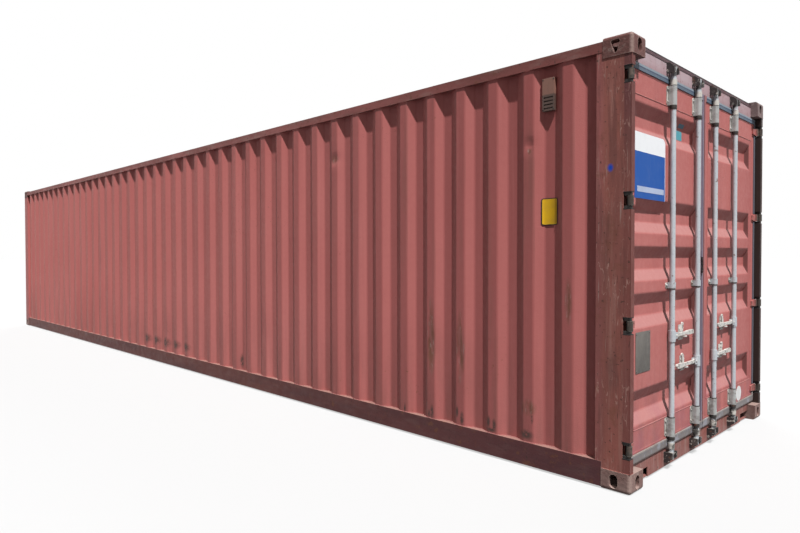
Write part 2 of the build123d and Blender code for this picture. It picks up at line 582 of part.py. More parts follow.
def cam_keeper(y, side, face_x, cam_z, up):
    """Two sloped cheeks and a strip on the end frame; the cheek away from the handle is hooked."""
    near_z, far_z = cam_z - up * KEEPER_CAM_REACH, cam_z + up * KEEPER_FAR_REACH
    shoulder_z = cam_z + up * KEEPER_SHOULDER
    strip_z = sorted((cam_z + up * KEEPER_STRIP_GAP, far_z))
    cheek = [
        (face_x, near_z), (CHEEK_X1, near_z), (CHEEK_X1, shoulder_z),
        (face_x + KEEPER_NECK, far_z), (face_x, far_z),
    ]
    keeper = block(face_x, face_x + KEEPER_STRIP_THICK, y - CHEEK_Y1, y + CHEEK_Y1, *strip_z)
    for way in (-1, 1):
        near, far = sorted((y + way * CHEEK_Y0, y + way * CHEEK_Y1))
        keeper += along_y(cheek, near, far)
    near, far = sorted((y - side * HOOK_Y0, y - side * CHEEK_Y1))
    return keeper + block(HOOK_X0, CHEEK_X1, near, far, *sorted((near_z, shoulder_z)))


os.makedirs("parts", exist_ok=True)

# Fixed frame
save("corner_castings_bottom", *castings(corner_casting(oval_aperture())))
top_casting = mirror(corner_casting(shield_aperture()), about=Plane.XY.offset(HEIGHT / 2))
save("corner_castings_top", *castings(top_casting))
save("top_side_rails", *both_sides(top_side_rail()))
save("bottom_side_rails", *both_sides(bottom_side_rail()))
save("rear_corner_posts", *both_sides(rear_post()))
save("front_corner_posts", *both_sides(front_post()))
save("right_side_wall", side_wall())
save("left_side_wall", other_side(side_wall()))
save("front_wall", front_wall())
save("roof_panel", roof())
save("door_header", door_header())
save("door_sill", door_sill())
save("front_header", front_header())
save("front_sill", *both_sides(front_sill()))

# Floor
web_y = RAIL_FACE_Y - BOTTOM_RAIL_WALL
member_places = [MEMBER_LAST_X - MEMBER_PITCH * i for i in range(MEMBERS)]
save("floor_cross_members", *[cross_member(x, -web_y, web_y) for x in member_places])
outrigger_places = [OUTRIGGER_FIRST_X + MEMBER_PITCH * i for i in range(OUTRIGGERS)]
outriggers = [cross_member(x, TUNNEL_HALF_Y, web_y) for x in outrigger_places]
save("right_tunnel_outriggers", *outriggers)
save("left_tunnel_outriggers", *[other_side(part) for part in outriggers])
save("gooseneck_tunnel", tunnel())
bow_places = [FRONT_POST_X0 + MEMBER_WIDE] + outrigger_places
save("tunnel_bows", *[tunnel_bow(x) for x in bow_places])
right_boards = floor_boards()
save("floor_boards", *right_boards, *[other_side(board) for board in right_boards])
half_y = CENTRE_RAIL_HALF_Y
save("floor_centre_rail", block(FLOOR_X0, FLOOR_X1, -half_y, half_y, MEMBER_Z1, BOARD_Z1))

# Ventilators, one near each end on opposite sides
rear_trough = LAST_CREST_X - SIDE_PITCH / 2
front_trough = LAST_CREST_X - SIDE_PITCH * (SIDE_CRESTS - 1.5)
save("ventilators", other_side(ventilator(rear_trough)), ventilator(front_trough))

# Hinges, doors and locking gear, made on the right and mirrored to the left
gear = {
    "inner": (INNER_ROD_Y, 1, INNER_HANDLE_Z),
    "outer": (OUTER_ROD_Y, -1, OUTER_HANDLE_Z),
}
lugs = [hinge_lugs(z) for z in HINGE_HEIGHTS]
top_keepers = [cam_keeper(y, side, HEADER_X1, CAM_Z_TOP, 1) for y, side, z in gear.values()]
low_keepers = [cam_keeper(y, side, SILL_X1, CAM_Z_LOW, -1) for y, side, z in gear.values()]
save("hinge_lugs", *lugs, *[other_side(part) for part in lugs])
save("top_cam_keepers", *top_keepers, *[other_side(part) for part in top_keepers])
save("bottom_cam_keepers", *low_keepers, *[other_side(part) for part in low_keepers])

door = {
    "door_frame": [door_frame()],
    "door_panel": [door_panel()],
    "door_gasket": [door_gasket()],
    "hinge_blades": [hinge_blade(z) for z in HINGE_HEIGHTS],
    "rod_brackets": [rod_bracket(y, *span) for y in (INNER_ROD_Y, OUTER_ROD_Y) for span in BRACKETS],
    "handle_catches": [handle_catch(y + side * CATCH_AT, side, z) for y, side, z in gear.values()],
}
for place, (y, side, z) in gear.items():
    door[f"{place}_lock_rod"] = [lock_rod(y, side, z)]
    door[f"{place}_handle"] = [handle(y, side, z)]
for name, parts in door.items():
    save(f"right_{name}", *parts)
    save(f"left_{name}", *[other_side(part) for part in parts])
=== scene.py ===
import math

import bmesh
import bpy
import numpy as np
from mathutils import Matrix, Vector, noise


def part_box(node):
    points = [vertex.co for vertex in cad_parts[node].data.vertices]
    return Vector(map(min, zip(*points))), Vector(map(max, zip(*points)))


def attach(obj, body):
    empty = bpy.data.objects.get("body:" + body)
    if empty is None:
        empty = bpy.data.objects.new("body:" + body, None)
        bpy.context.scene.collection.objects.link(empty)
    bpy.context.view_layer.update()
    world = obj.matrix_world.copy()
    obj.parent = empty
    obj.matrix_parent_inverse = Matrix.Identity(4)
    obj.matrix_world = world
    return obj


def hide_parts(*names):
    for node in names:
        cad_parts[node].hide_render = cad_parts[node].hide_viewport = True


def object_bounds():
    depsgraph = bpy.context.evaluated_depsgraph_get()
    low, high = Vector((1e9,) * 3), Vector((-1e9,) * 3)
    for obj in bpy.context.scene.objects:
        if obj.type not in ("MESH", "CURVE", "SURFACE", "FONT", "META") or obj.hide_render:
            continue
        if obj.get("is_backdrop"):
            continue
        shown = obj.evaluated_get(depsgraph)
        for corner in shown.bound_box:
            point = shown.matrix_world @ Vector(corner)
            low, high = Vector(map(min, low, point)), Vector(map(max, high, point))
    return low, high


# A weathered steel freight container, in metres. +X is the door end, +Z is up, and
# the long side that the camera sees is -Y, the left side.

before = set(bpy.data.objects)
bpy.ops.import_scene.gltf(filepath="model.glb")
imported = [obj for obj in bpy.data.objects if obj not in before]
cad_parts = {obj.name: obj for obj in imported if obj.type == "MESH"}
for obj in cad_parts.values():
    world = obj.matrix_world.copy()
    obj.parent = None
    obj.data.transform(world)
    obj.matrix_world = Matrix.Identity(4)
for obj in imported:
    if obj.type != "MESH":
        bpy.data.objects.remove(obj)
cad_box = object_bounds()

# Camera and light
CAMERA_AT = Vector((7.629, -4.553, 1.353))
CAMERA_RIGHT = Vector((0.70478, 0.70943, -0.00145))
CAMERA_DOWN = Vector((0.01221, -0.01417, -0.99983))
CAMERA_LENS, CAMERA_SENSOR = 27.89, 36.0
SUN_FROM, SUN_STRENGTH, SUN_SPREAD = Vector((0.43, -0.22, 0.876)), 6.42, 1.5
FILL_FROM, FILL_STRENGTH, FILL_SPREAD = Vector((-0.62, 0.7, 0.35)), 2.4, 50
SKY, BACKDROP = 0.25, 1.0
FLOOR_SIZE, FLOOR_GREY, FLOOR_PALE, FLOOR_GLOW = 400.0, 0.07, 0.2, 0.56

# Sheets
SHEET = 0.002
SIDE_CREST, SIDE_RUN, SIDE_PITCH, SIDE_CRESTS, LAST_CREST_X = 0.072, 0.068, 0.278, 42, 5.693
SIDE_DEPTH, SIDE_ROWS = 0.036, 26
FRONT_CREST, FRONT_RUN, FRONT_PITCH, FRONT_CRESTS, FRONT_DEPTH = 0.11, 0.018, 0.25, 8, 0.045
SIDE_WAVE, FRONT_WAVE, DOOR_WAVE, ROOF_WAVE = 0.0022, 0.003, 0.0025, 0.0045
LEFT_SEED, RIGHT_SEED, FRONT_SEED, DOOR_SEED, ROOF_SEED = 3, 17, 41, 23, 57
SIDE_INSET, ROOF_SAG = 0.0008, 0.003
# Weld beads: how far in they lie, their steps and their radii
WELD_INSET, WELD_START, WELD_END, ACROSS_STEP, UP_STEP = 0.001, 0.004, 0.002, 0.012, 0.016
ACROSS_WELD, UP_WELD, POST_WELD, WALL_WELD = 0.0028, 0.0022, 0.0024, 0.0025
DOOR_COLUMNS, DOOR_ROWS, ROOF_ROWS = 25, 41, 17
# How far in from its held edges a sheet comes to its full waves
EDGE_HOLD, WALL_HOLD, ROOF_HOLD_X, ROOF_HOLD_Y = 0.1, 0.15, 0.2, 0.25
BEND, END_BEND, GUARD = 0.006, 0.003, 0.004
RIB_PITCH, RIB_COUNT, RIB_RUN, RIB_RISE, RIB_HALF_X, RIB_HALF_Y = 0.209, 56, 0.018, 0.016, 0.0635, 1.04
TROUGH_HEIGHTS = (0.455, 1.022, 1.3, 1.584, 2.14)
TROUGH_HALF_Z, TROUGH_RUN, TROUGH_END_RUN, TROUGH_DEPTH = 0.103, 0.068, 0.012, 0.036
TROUGH_ENDS = {"left": (0.101, 1.075), "right": (0.101, 1.026)}

# Doors and their gear
DOOR_FACE = 6.044
SIGN, SIGN_ROUND, SIGN_SPLIT, SIGN_EDGE = ((-1.078, 1.682), (-0.65, 2.066)), 0.042, 1.955, -0.6575
SIGN_THICK, BAND_BACK, BAND_FRONT = 0.0028, 0.0029, 0.0034
SIGN_BAND = (-1.045, 1.7205), (-0.67, 1.7535)
PLATE, PLATE_THICK, RIVET_INSET = ((-1.052, 0.656), (-0.853, 0.898)), 0.0025, (0.012, 0.013)
MARK, MARK_ROUND, MARK_THICK, MARK_INSET = ((5.498, 1.536), (5.613, 1.704)), 0.014, 0.0012, 0.0055
MARK_BACK, MARK_FACE_BACK = 0.003, 0.0034
DISC_AT, DISC = (0.809, 0.25), ((0.059, 0.0), (0.06, 0.0006), (0.0595, 0.0012))
STICKER_Y, STICKER_HALF, LABEL_ROUND = (-0.38, -0.295), 0.001, 0.004
TEAL_Z, PAPER_Z = (2.107, 2.168), (2.187, 2.211)
TORN_X, TORN_Y, TORN_Z, TORN_STEP = 6.0535, -0.028, (1.225, 1.345), 0.01
FLAP, FLAP_THICK = ((-0.036, 0.2), (-0.021, 2.41)), 0.003
SIDES = {"left": -1, "right": 1}
# Each rod's distance from the seam, the way its handle points and the handle's height
GEAR = {"inner": (0.165, 1, 0.635), "outer": (0.59, -1, 0.84)}
ROD_X = 6.071
# Radius and height of the heads
BRACKET_BOLT, CATCH_BOLT, PIN_HEAD = (0.0065, 0.007), (0.005, 0.005), (0.0075, 0.0045)
PLATE_RIVET, STRIP_RIVET, VENT_SCREW = (0.0035, 0.003), (0.0028, 0.0025), (0.003, 0.003)
BRACKETS = ((0.205, 0.322), (1.141, 1.179), (2.287, 2.407))
# How far the bushes stand out below and above each bracket
BUSHES = ((0.024, 0.007), (0.007, 0.0), (0.026, 0.004))
BUSH_BORE, BUSH_RIM, BUSH_BELLY, BUSH_EDGE = 0.0178, 0.0205, 0.0218, 0.001
BRACKET_FACE, BRACKET_BOLT_Y, BRACKET_BOLT_Z, TALL_BRACKET = 6.048, 0.034, 0.022, 0.06
CATCH_AT, CATCH_BOLT_Y, CATCH_BOLT_Z = 0.2, 0.027, (-0.034, 0.03)
PIN_AT, YOKE_HALF_X = 0.042, 0.014
RIVET_FIRST, RIVET_PITCH = 0.02, 0.105
STRIP_Y, STRIP_HEIGHTS, STRIP_TALL, STRIP_FACE = (0.03, 1.125), (0.196, 2.415), 0.012, 6.0452
NOTCH_BACK, NOTCH_FRONT, LUG_TOP, NOTCH_TOP = 6.0442, 6.089, 0.0452, 0.0498
HINGE_HEIGHTS = (0.248, 0.952, 1.656, 2.36)

# Frame and floor
POST_FACES = {"rear": (5.922, 6.0905), "front": (-5.922, -6.0925)}
POST_Y = (1.174, 1.2155)
SCREW_ROWS, SCREW_PITCH, SCREW_LAST_X, SCREW_PLACES = 39, 0.305, 5.8175, (0.1, 0.42, 0.76, 1.1)
FLOOR_SCREW = ((0.006, -0.001), (0.006, 0.0004), (0.004, 0.0009))
VENT_HALF, VENT_FACE, VENT_SCREW_Z = 0.037, 1.204, (2.249, 2.431)

# Marks of use on the left wall: x, z, how far each reaches and a dent's depth. The right
# wall shares the later dents.
DENTS = (
    (3.47, 2.17, 0.05, 0.045, 0.012), (5.42, 2.04, 0.035, 0.04, 0.01),
    (4.6, 0.66, 0.05, 0.12, 0.007), (4.86, 0.62, 0.045, 0.1, 0.006),
    (2.36, 0.55, 0.08, 0.18, 0.006), (0.14, 0.4, 0.1, 0.15, 0.007),
    (-2.1, 1.25, 0.12, 0.3, 0.006), (-4.3, 0.8, 0.09, 0.22, 0.007),
)
SMUDGES = (
    (5.106, 0.232, 0.02, 0.05), (5.152, 0.216, 0.022, 0.052), (5.128, 0.182, 0.05, 0.022),
    (5.405, 0.206, 0.062, 0.04), (5.446, 0.318, 0.012, 0.045), (4.832, 0.25, 0.016, 0.05),
    (4.876, 0.208, 0.022, 0.062), (4.594, 0.208, 0.02, 0.062), (4.565, 0.19, 0.016, 0.035),
    (4.314, 0.19, 0.014, 0.045), (-0.44, 0.275, 0.13, 0.075), (-0.16, 0.275, 0.13, 0.07),
    (0.12, 0.272, 0.13, 0.075), (0.39, 0.272, 0.13, 0.065), (0.66, 0.27, 0.12, 0.065),
    (1.9, 0.25, 0.03, 0.09),
)
SCRAPES = (
    (4.58, 0.74, 0.05, 0.33), (4.86, 0.7, 0.045, 0.29), (3.47, 2.17, 0.06, 0.05),
    (5.42, 2.005, 0.022, 0.022), (5.7, 1.07, 0.03, 0.16), (5.42, 0.38, 0.06, 0.06),
)
WEAR_Y = -1.2
PAINT_SPOT = (5.966, -1.215, 1.847)

# Colours
RED, FADED, DEEP = (0.4, 0.118, 0.108), (0.45, 0.158, 0.146), (0.27, 0.068, 0.066)
# The roof's coat is painted shade: darker than the walls' so that the strong light from above does not wash
# it out.
ROOF_SHADED_COAT = (0.29, 0.086, 0.079), (0.325, 0.114, 0.105)
# The last colour here is a painted reflection that pales the far crests and trough floors.
DUSTY_RED, MAUVE, FLAT_PAINTED_SHEEN = (0.35, 0.16, 0.15), (0.29, 0.1, 0.125), (0.545, 0.18, 0.152)
# The last colour here is painted shade for the doors' trough end walls.
RUBBED, SMUDGE, TROUGH_END_SHADE = (0.2, 0.085, 0.07), (0.036, 0.028, 0.023), (0.105, 0.036, 0.033)
RUST, RUST_DARK = (0.13, 0.05, 0.026), (0.04, 0.02, 0.015)
DIRT, DUST, GRIME = (0.11, 0.06, 0.05), (0.33, 0.24, 0.21), (0.1, 0.075, 0.065)
BROWN, BROWN_DARK, BROWN_PALE = (0.264, 0.088, 0.071), (0.118, 0.044, 0.038), (0.38, 0.215, 0.18)
# The second colour here and the second on the next line are painted shade on the posts' inner flange strip,
# darker near its top.
POST_MAUVE, POST_FLANGE_SHADE = (0.32, 0.104, 0.1), (0.155, 0.048, 0.042)
POST_FRONT, POST_FLANGE_TOP_SHADE = (0.118, 0.035, 0.03), (0.09, 0.03, 0.034)
# The first colour here is painted shade for the inner side and front of the right rear post.
RIGHT_POST_SHADE, SPOT_BLUE, SILL = (0.019, 0.013, 0.011), (0.006, 0.055, 0.4), (0.2, 0.082, 0.072)
TOP_RAIL, TOP_RAIL_FAR = (0.19, 0.058, 0.052), (0.34, 0.12, 0.112)
LOW_RAIL, LOW_RAIL_FAR = (0.078, 0.024, 0.026), (0.122, 0.04, 0.034)
LOW_RAIL_DARK = (0.052, 0.019, 0.022)
CASTING, CASTING_FOOT, CASTING_CHALK = (0.12, 0.052, 0.046), (0.26, 0.175, 0.155), (0.2, 0.165, 0.165)
HEADER, HEADER_PINK, HEADER_RUN = (0.39, 0.284, 0.302), (0.36, 0.185, 0.2), (0.23, 0.11, 0.105)
HEADER_CHALK, HEADER_STAIN = (0.46, 0.36, 0.39), (0.2, 0.09, 0.09)
# The last colour here is painted shade along the header's top edge.
HEADER_SCAR, HEADER_PLUM, HEADER_TOP_SHADE = (0.36, 0.2, 0.16), (0.055, 0.022, 0.029), (0.016, 0.01, 0.01)
GALVANISED, GALVANISED_PALE = (0.43, 0.46, 0.49), (0.54, 0.555, 0.555)
GALVANISED_DULL, GEAR_PALE, CREAM = (0.33, 0.355, 0.385), (0.54, 0.52, 0.485), (0.52, 0.49, 0.44)
# The middle colour here is painted shade in the crease between a bracket's saddle and its flange.
SADDLE, BRACKET_CREASE_SHADE, BRACKET_GREY = (0.33, 0.34, 0.34), (0.1, 0.09, 0.085), (0.16, 0.15, 0.14)
STEEL_DARK, STEEL_BROWN = (0.03, 0.027, 0.026), (0.05, 0.04, 0.034)
KEEPER, KEEPER_PALE = (0.028, 0.022, 0.022), (0.12, 0.1, 0.09)
KNUCKLE, KNUCKLE_PALE = (0.045, 0.038, 0.032), (0.15, 0.105, 0.085)
RUBBER, RUBBER_GREY, SEAL_DUSTY = (0.052, 0.072, 0.108), (0.172, 0.152, 0.146), (0.12, 0.135, 0.165)
SEAL_HEAD, SEAL_GROOVE, SEAL_LIP = (0.085, 0.118, 0.16), (0.03, 0.045, 0.085), (0.24, 0.285, 0.325)
SEAL_SIDE, SEAL_SHADE = (0.115, 0.105, 0.12), (0.06, 0.045, 0.042)
SEAL_FOOT_LIP, SEAL_BLOOM, SEAL_MUD = (0.31, 0.27, 0.24), (0.33, 0.34, 0.4), (0.15, 0.11, 0.1)
SEAM_PLUM, SEAM_RED = (0.19, 0.15, 0.195), (0.3, 0.1, 0.095)
WOOD, WOOD_DARK = (0.27, 0.15, 0.08), (0.12, 0.062, 0.034)
WOOD_SCUFF, WOOD_PALE = (0.18, 0.11, 0.07), (0.4, 0.29, 0.2)
UNDER, UNDER_PALE = (0.06, 0.036, 0.033), (0.13, 0.08, 0.065)
TAN, VENT_DARK = (0.215, 0.105, 0.078), (0.055, 0.034, 0.027)

# Enamels and prints, each a colour and its soiling
BLACK = (0.018, 0.016, 0.016), (0.06, 0.05, 0.05)
WHITE_ENAMEL = (0.66, 0.66, 0.66), (0.38, 0.36, 0.34)
YELLOW = (0.62, 0.36, 0.015), (0.35, 0.2, 0.05)
BAND = (0.4, 0.46, 0.62), (0.3, 0.34, 0.45)
BARE_PLATE = (0.125, 0.115, 0.105), (0.2, 0.18, 0.16)
TEAL = (0.06, 0.3, 0.36), (0.25, 0.3, 0.3)
BLUE_PRINT = (0.05, 0.16, 0.24), (0.25, 0.24, 0.24)
BOARD_BLUE, BOARD_WHITE, BOARD_SOIL = (0.011, 0.08, 0.33), (0.8, 0.81, 0.83), (0.25, 0.26, 0.3)


class Graph:
    """Nodes of a material or of the world."""

    def __init__(self, tree):
        self.nodes = tree.nodes
        self.links = tree.links

    def feed(self, socket, value):
        """Links or sets an input; colours are written without their alpha."""
        if isinstance(value, bpy.types.NodeSocket):
            self.links.new(value, socket)
        elif value is not None:
            socket.default_value = (*value, 1) if socket.type == "RGBA" else value

    def node(self, kind, *values, output=0, **settings):
        """An output of a node whose inputs are set in order."""
        node = self.nodes.new(kind)
        for key, value in settings.items():
            setattr(node, key, value)
        for socket, value in zip(node.inputs, values):
            self.feed(socket, value)
        return node.outputs[output]

    def math(self, operation, a, b=0.0):
        return self.node("ShaderNodeMath", a, b, operation=operation)

    def scaled(self, value, low, high):
        """From low to high as a value rises from 0 to 1."""
        return self.node("ShaderNodeMapRange", value, 0.0, 1.0, low, high)

    def surface(self, shader):
        self.feed(self.nodes.new("ShaderNodeOutputMaterial").inputs[0], shader)

    def seen_directly(self):
        """1 for rays that show the background itself."""
        path = self.nodes.new("ShaderNodeLightPath").outputs
        total = path["Is Camera Ray"]
        for name in ("Is Glossy Ray", "Is Transmission Ray"):
            total = self.math("MAXIMUM", total, path[name])
        return total


class Finish(Graph):
    """A surface built up in layers over the frame's coordinates."""

    def __init__(self, name, colour, roughness=0.6, metallic=0.0, specular=0.25):
        self.material = bpy.data.materials.new(name)
        self.material.use_nodes = True
        super().__init__(self.material.node_tree)
        self.nodes.clear()
        self.shader = self.nodes.new("ShaderNodeBsdfPrincipled")
        self.surface(self.shader.outputs[0])
        self.place = self.nodes.new("ShaderNodeTexCoord").outputs["Object"]
        self.colour = colour
        self.set("Roughness", roughness)
        self.set("Metallic", metallic)
        self.set("Specular IOR Level", specular)

    def set(self, name, value):
        self.feed(self.shader.inputs[name], value)

    def times(self, *masks):
        result = masks[0]
        for mask in masks[1:]:
            result = self.math("MULTIPLY", result, mask)
        return result

    def rise(self, value, low, high):
        """0 at low, 1 at high."""
        return self.node("ShaderNodeMapRange", value, low, high, 0.0, 1.0)

    def noise(self, scale, stretch, detail, seed):
        shift = (3.1 * seed, 7.3 * seed, 5.7 * seed)
        place = self.node("ShaderNodeMapping", self.place, shift, None, stretch)
        return self.node("ShaderNodeTexNoise", place, None, scale, detail, 0.6)

    def grain(self, scale, low=0.3, high=0.7, stretch=(1, 1, 1), detail=4, seed=0):
        """Noise that rises from 0 to 1 between low and high."""
        return self.rise(self.noise(scale, stretch, detail, seed), low, high)

    def threads(self, scale, width, stretch, seed):
        """Thin winding lines, like scratches."""
        return self.rise(self.gap(self.noise(scale, stretch, 2, seed), 0.5), width, width / 3)

    def streaks(self, across, along, low, high, seed):
        """Noise drawn out down the surface."""
        return self.grain(1.0, low, high, (across, across, along), 5, seed)

    def part(self, axis):
        return self.node("ShaderNodeSeparateXYZ", self.place, output=axis)

    def normal(self):
        return self.nodes.new("ShaderNodeNewGeometry").outputs["Normal"]

    def gap(self, value, middle):
        return self.math("ABSOLUTE", self.math("SUBTRACT", value, middle))

    def along(self, axis, low, high):
        """Rises from 0 at low to 1 at high along an axis."""
        return self.rise(self.part(axis), low, high)

    def aside(self, low, high):
        """Rises with the distance from the middle plane."""
        return self.rise(self.math("ABSOLUTE", self.part("Y")), low, high)

    def upward(self, low, high):
        """Rises on surfaces that face up."""
        return self.rise(self.node("ShaderNodeSeparateXYZ", self.normal(), output="Z"), low, high)

    def beside_rods(self):
        """Distance across the door from the nearest lock rod."""
        aside = self.math("ABSOLUTE", self.part("Y"))
        return self.math("MINIMUM", *(self.gap(aside, rod_y) for rod_y, _, _ in GEAR.values()))

    def off_rods(self, low, high):
        """Rises with the distance from the axis of the nearest lock rod."""
        near, ahead = self.beside_rods(), self.gap(self.part("X"), ROD_X)
        square = self.math("ADD", self.times(near, near), self.times(ahead, ahead))
        return self.rise(self.math("SQRT", square), low, high)

    def spot(self, centre, reach):
        """1 near the centre, 0 at the reach."""
        place = self.node("ShaderNodeMapping", self.place, centre, None, reach, vector_type="TEXTURE")
        length = self.node("ShaderNodeVectorMath", place, operation="LENGTH", output="Value")
        return self.rise(length, 1.0, 0.35)

    def spots(self, places):
        """The marks of a list of (x, z, reach along, reach up) on the left wall."""
        total = 0.0
        for x, z, reach_x, reach_z in places:
            mask = self.spot((x, WEAR_Y, z), (reach_x, 1.0, reach_z))
            total = self.math("MAXIMUM", total, mask)
        return total

    def edges(self, radius):
        """1 along the sharp edges of a solid."""
        bevel = self.node("ShaderNodeBevel", radius, samples=4)
        dot = self.node("ShaderNodeVectorMath", bevel, self.normal(), operation="DOT_PRODUCT", output="Value")
        return self.rise(dot, 0.98, 0.8)

    def layer(self, colour, amount, *masks):
        """Lays a colour over what is there, where all the masks are."""
        share = self.times(*masks, amount)
        unused = [None] * 5
        mix = (share, *unused, self.colour, colour)
        self.colour = self.node("ShaderNodeMix", *mix, data_type="RGBA", output=2)

    def patches(self, colour, amount, *grain, **more):
        """A layer in the patches of a noise."""
        self.layer(colour, amount, self.grain(*grain, **more))

    def runs(self, colour, amount, *streaks, **more):
        """A layer in streaks down the surface."""
        self.layer(colour, amount, self.streaks(*streaks, **more))

    def fade(self, colour, amount, axis, low, high):
        """A layer that comes in between two places along an axis."""
        self.layer(colour, amount, self.along(axis, low, high))

    def rub(self, colour, amount, radius, *grain, **more):
        """A layer on stretches of the sharp edges."""
        self.layer(colour, amount, self.edges(radius), self.grain(*grain, **more))

    def relief(self, depth, *grain, **more):
        node = self.nodes.new("ShaderNodeBump")
        node.inputs["Distance"].default_value = depth
        self.feed(node.inputs["Height"], self.grain(*grain, **more))
        self.set("Normal", node.outputs[0])

    def sheen(self, low, high, *grain, **more):
        """Roughness from low to high as a noise rises."""
        self.set("Roughness", self.scaled(self.grain(*grain, **more), low, high))

    def done(self):
        self.set("Base Color", self.colour)
        return self.material


def wall_paint(name, spots=False, low=0.16, walls=True, doors=False, coat=(RED, FADED)):
    """Faded red oxide paint with run marks, dirt near the foot and rust specks; on the walls, painted shade
    darkens the crests and trough floors and the near end, and a painted reflection pales the far crests and
    trough floors; on the doors, painted shade darkens the trough end walls.
    """
    base, faded = coat
    paint = Finish(name, base)
    paint.patches(faded, 0.55, 0.5, 0.35, 0.7, detail=3)
    if walls:
        crest = paint.aside(1.2045, 1.2075)
        flats = paint.math("MAXIMUM", crest, paint.aside(1.1815, 1.1785))
        # Painted shade: the crests and trough floors darker, most towards the near end.
        paint.layer(DEEP, 0.42, flats, paint.along("X", -4, 5))
        # Painted reflection: the crests and trough floors paler towards the far end.
        paint.layer(FLAT_PAINTED_SHEEN, 0.38, flats, paint.along("X", 4.5, -4))
        # Painted shade: the whole wall darker towards the near end.
        paint.fade(DEEP, 0.34, "X", 2.5, 6.5)
        rubbed = paint.times(crest, paint.along("X", 2, 5), paint.streaks(9, 0.8, 0.5, 0.66, seed=13))
        paint.layer(RUBBED, 0.45, rubbed)
    paint.runs(DEEP, 0.3, 7, 0.3, 0.5, 0.72, seed=1)
    paint.runs(faded, 0.45, 16, 0.5, 0.56, 0.74, seed=2)
    paint.patches(DEEP, 0.1, 28, 0.35, 0.7, seed=3)
    paint.layer(DIRT, 0.4, paint.along("Z", low + 0.75, low), paint.streaks(9, 1.2, 0.38, 0.66, seed=4))
    clusters = paint.grain(1.6, 0.52, 0.66, seed=5)
    paint.layer(RUST, 0.85, paint.grain(52, 0.665, 0.7, detail=2, seed=6), clusters)
    paint.layer(DUST, 0.35, paint.streaks(70, 2.2, 0.7, 0.74, seed=7), clusters)
    paint.layer(DUSTY_RED, 0.9, paint.upward(0.15, 0.5))
    if not walls:
        paint.layer(MAUVE, 0.55, paint.along("Z", 0.6, 0.2), paint.grain(5, 0.42, 0.62, seed=12))
    if doors:
        paint.fade(DEEP, 0.4, "Y", 0.55, 1.04)
        # Painted shade on the end walls of the door troughs.
        sunk = paint.along("X", DOOR_FACE - 0.002, DOOR_FACE - 0.005)
        shaded_end_walls = paint.math("MAXIMUM", paint.aside(0.1145, 0.113), paint.along("Y", 1.0125, 1.014))
        paint.layer(TROUGH_END_SHADE, 0.9, sunk, shaded_end_walls)
    if spots:
        paint.layer(SMUDGE, 0.85, paint.spots(SMUDGES), paint.grain(45, 0.3, 0.5, seed=8))
        scraped = paint.spots(SCRAPES)
        paint.layer(RUBBED, 0.65, scraped, paint.streaks(20, 3, 0.4, 0.52, seed=14))
        paint.layer(RUST, 0.7, scraped, paint.streaks(48, 7, 0.44, 0.56, seed=9))
        paint.layer(DUST, 0.7, scraped, paint.streaks(70, 14, 0.58, 0.64, seed=10))
    paint.sheen(0.5, 0.68, 28, 0.35, 0.7, seed=3)
    paint.relief(0.0004, 120, seed=11)
    return paint.done()


def post_paint(name, base, dark, pale, wear=0.5):
    """Older brown paint, scoured by handling into vertical streaks and scratches, with painted shade on the
    inner flange strip (darker near its top) and on the inner side and front of the right rear post.
    """
    paint = Finish(name, base)
    paint.layer(POST_MAUVE, 0.8, paint.along("X", 5.935, 5.9), paint.along("X", 5, 5.1))
    paint.runs(dark, 0.5, 7, 0.7, 0.42, 0.6, seed=1)
    paint.runs(pale, 0.36, 26, 1.1, 0.52, 0.66, seed=2)
    paint.patches(RUST, 0.55, 9, 0.55, 0.72, seed=3)
    # Painted shade on the inner flange strip, darker near its top.
    flange = paint.along("X", 6.044, 6.049)
    paint.layer(POST_FLANGE_SHADE, 0.6, flange)
    paint.layer(POST_FLANGE_TOP_SHADE, 0.7, flange, paint.along("Z", 1.85, 2.3))
    paint.runs(DUST, 0.6, 75, 3, 0.62, 0.68, seed=4)
    paint.runs(RUST_DARK, 0.7, 90, 9, 0.66, 0.7, seed=9)
    paint.patches(RUST_DARK, 0.75, 45, 0.66, 0.7, detail=2, seed=5)
    cluster = paint.grain(4, 0.5, 0.56, seed=11)
    for seed, lean in ((10, 0.12), (14, 0.22)):
        lines = paint.threads(14, 0.008, (1, 1, lean), seed)
        broken = paint.grain(26, 0.48, 0.54, seed=seed + 1)
        paint.layer(pale, 0.7, lines, cluster, broken)
    paint.layer(dark, 0.65, paint.along("Z", 1.75, 2.25), paint.streaks(20, 2, 0.5, 0.6, seed=16))
    smears = paint.times(paint.streaks(16, 1.6, 0.54, 0.64, seed=12), paint.grain(2.5, 0.45, 0.55, seed=13))
    paint.layer(dark, 0.6, smears)
    paint.rub(pale, wear, 0.004, 14, 0.42, 0.62, seed=6)
    paint.fade(POST_FRONT, 0.75, "X", 6.084, 6.087)
    # Painted shade on the inner side and front of the right rear post.
    right_post_shade_mask = paint.times(paint.along("Y", 1.211, 1.209), paint.along("Y", 1, 1.1))
    paint.layer(RIGHT_POST_SHADE, 0.94, right_post_shade_mask, paint.along("X", 5.96, 6))
    paint.layer(SPOT_BLUE, 1, paint.spot(PAINT_SPOT, (0.022, 0.02, 0.028)))
    paint.sheen(0.5, 0.75, 12, seed=7)
    paint.relief(0.0003, 90, seed=8)
    return paint.done()


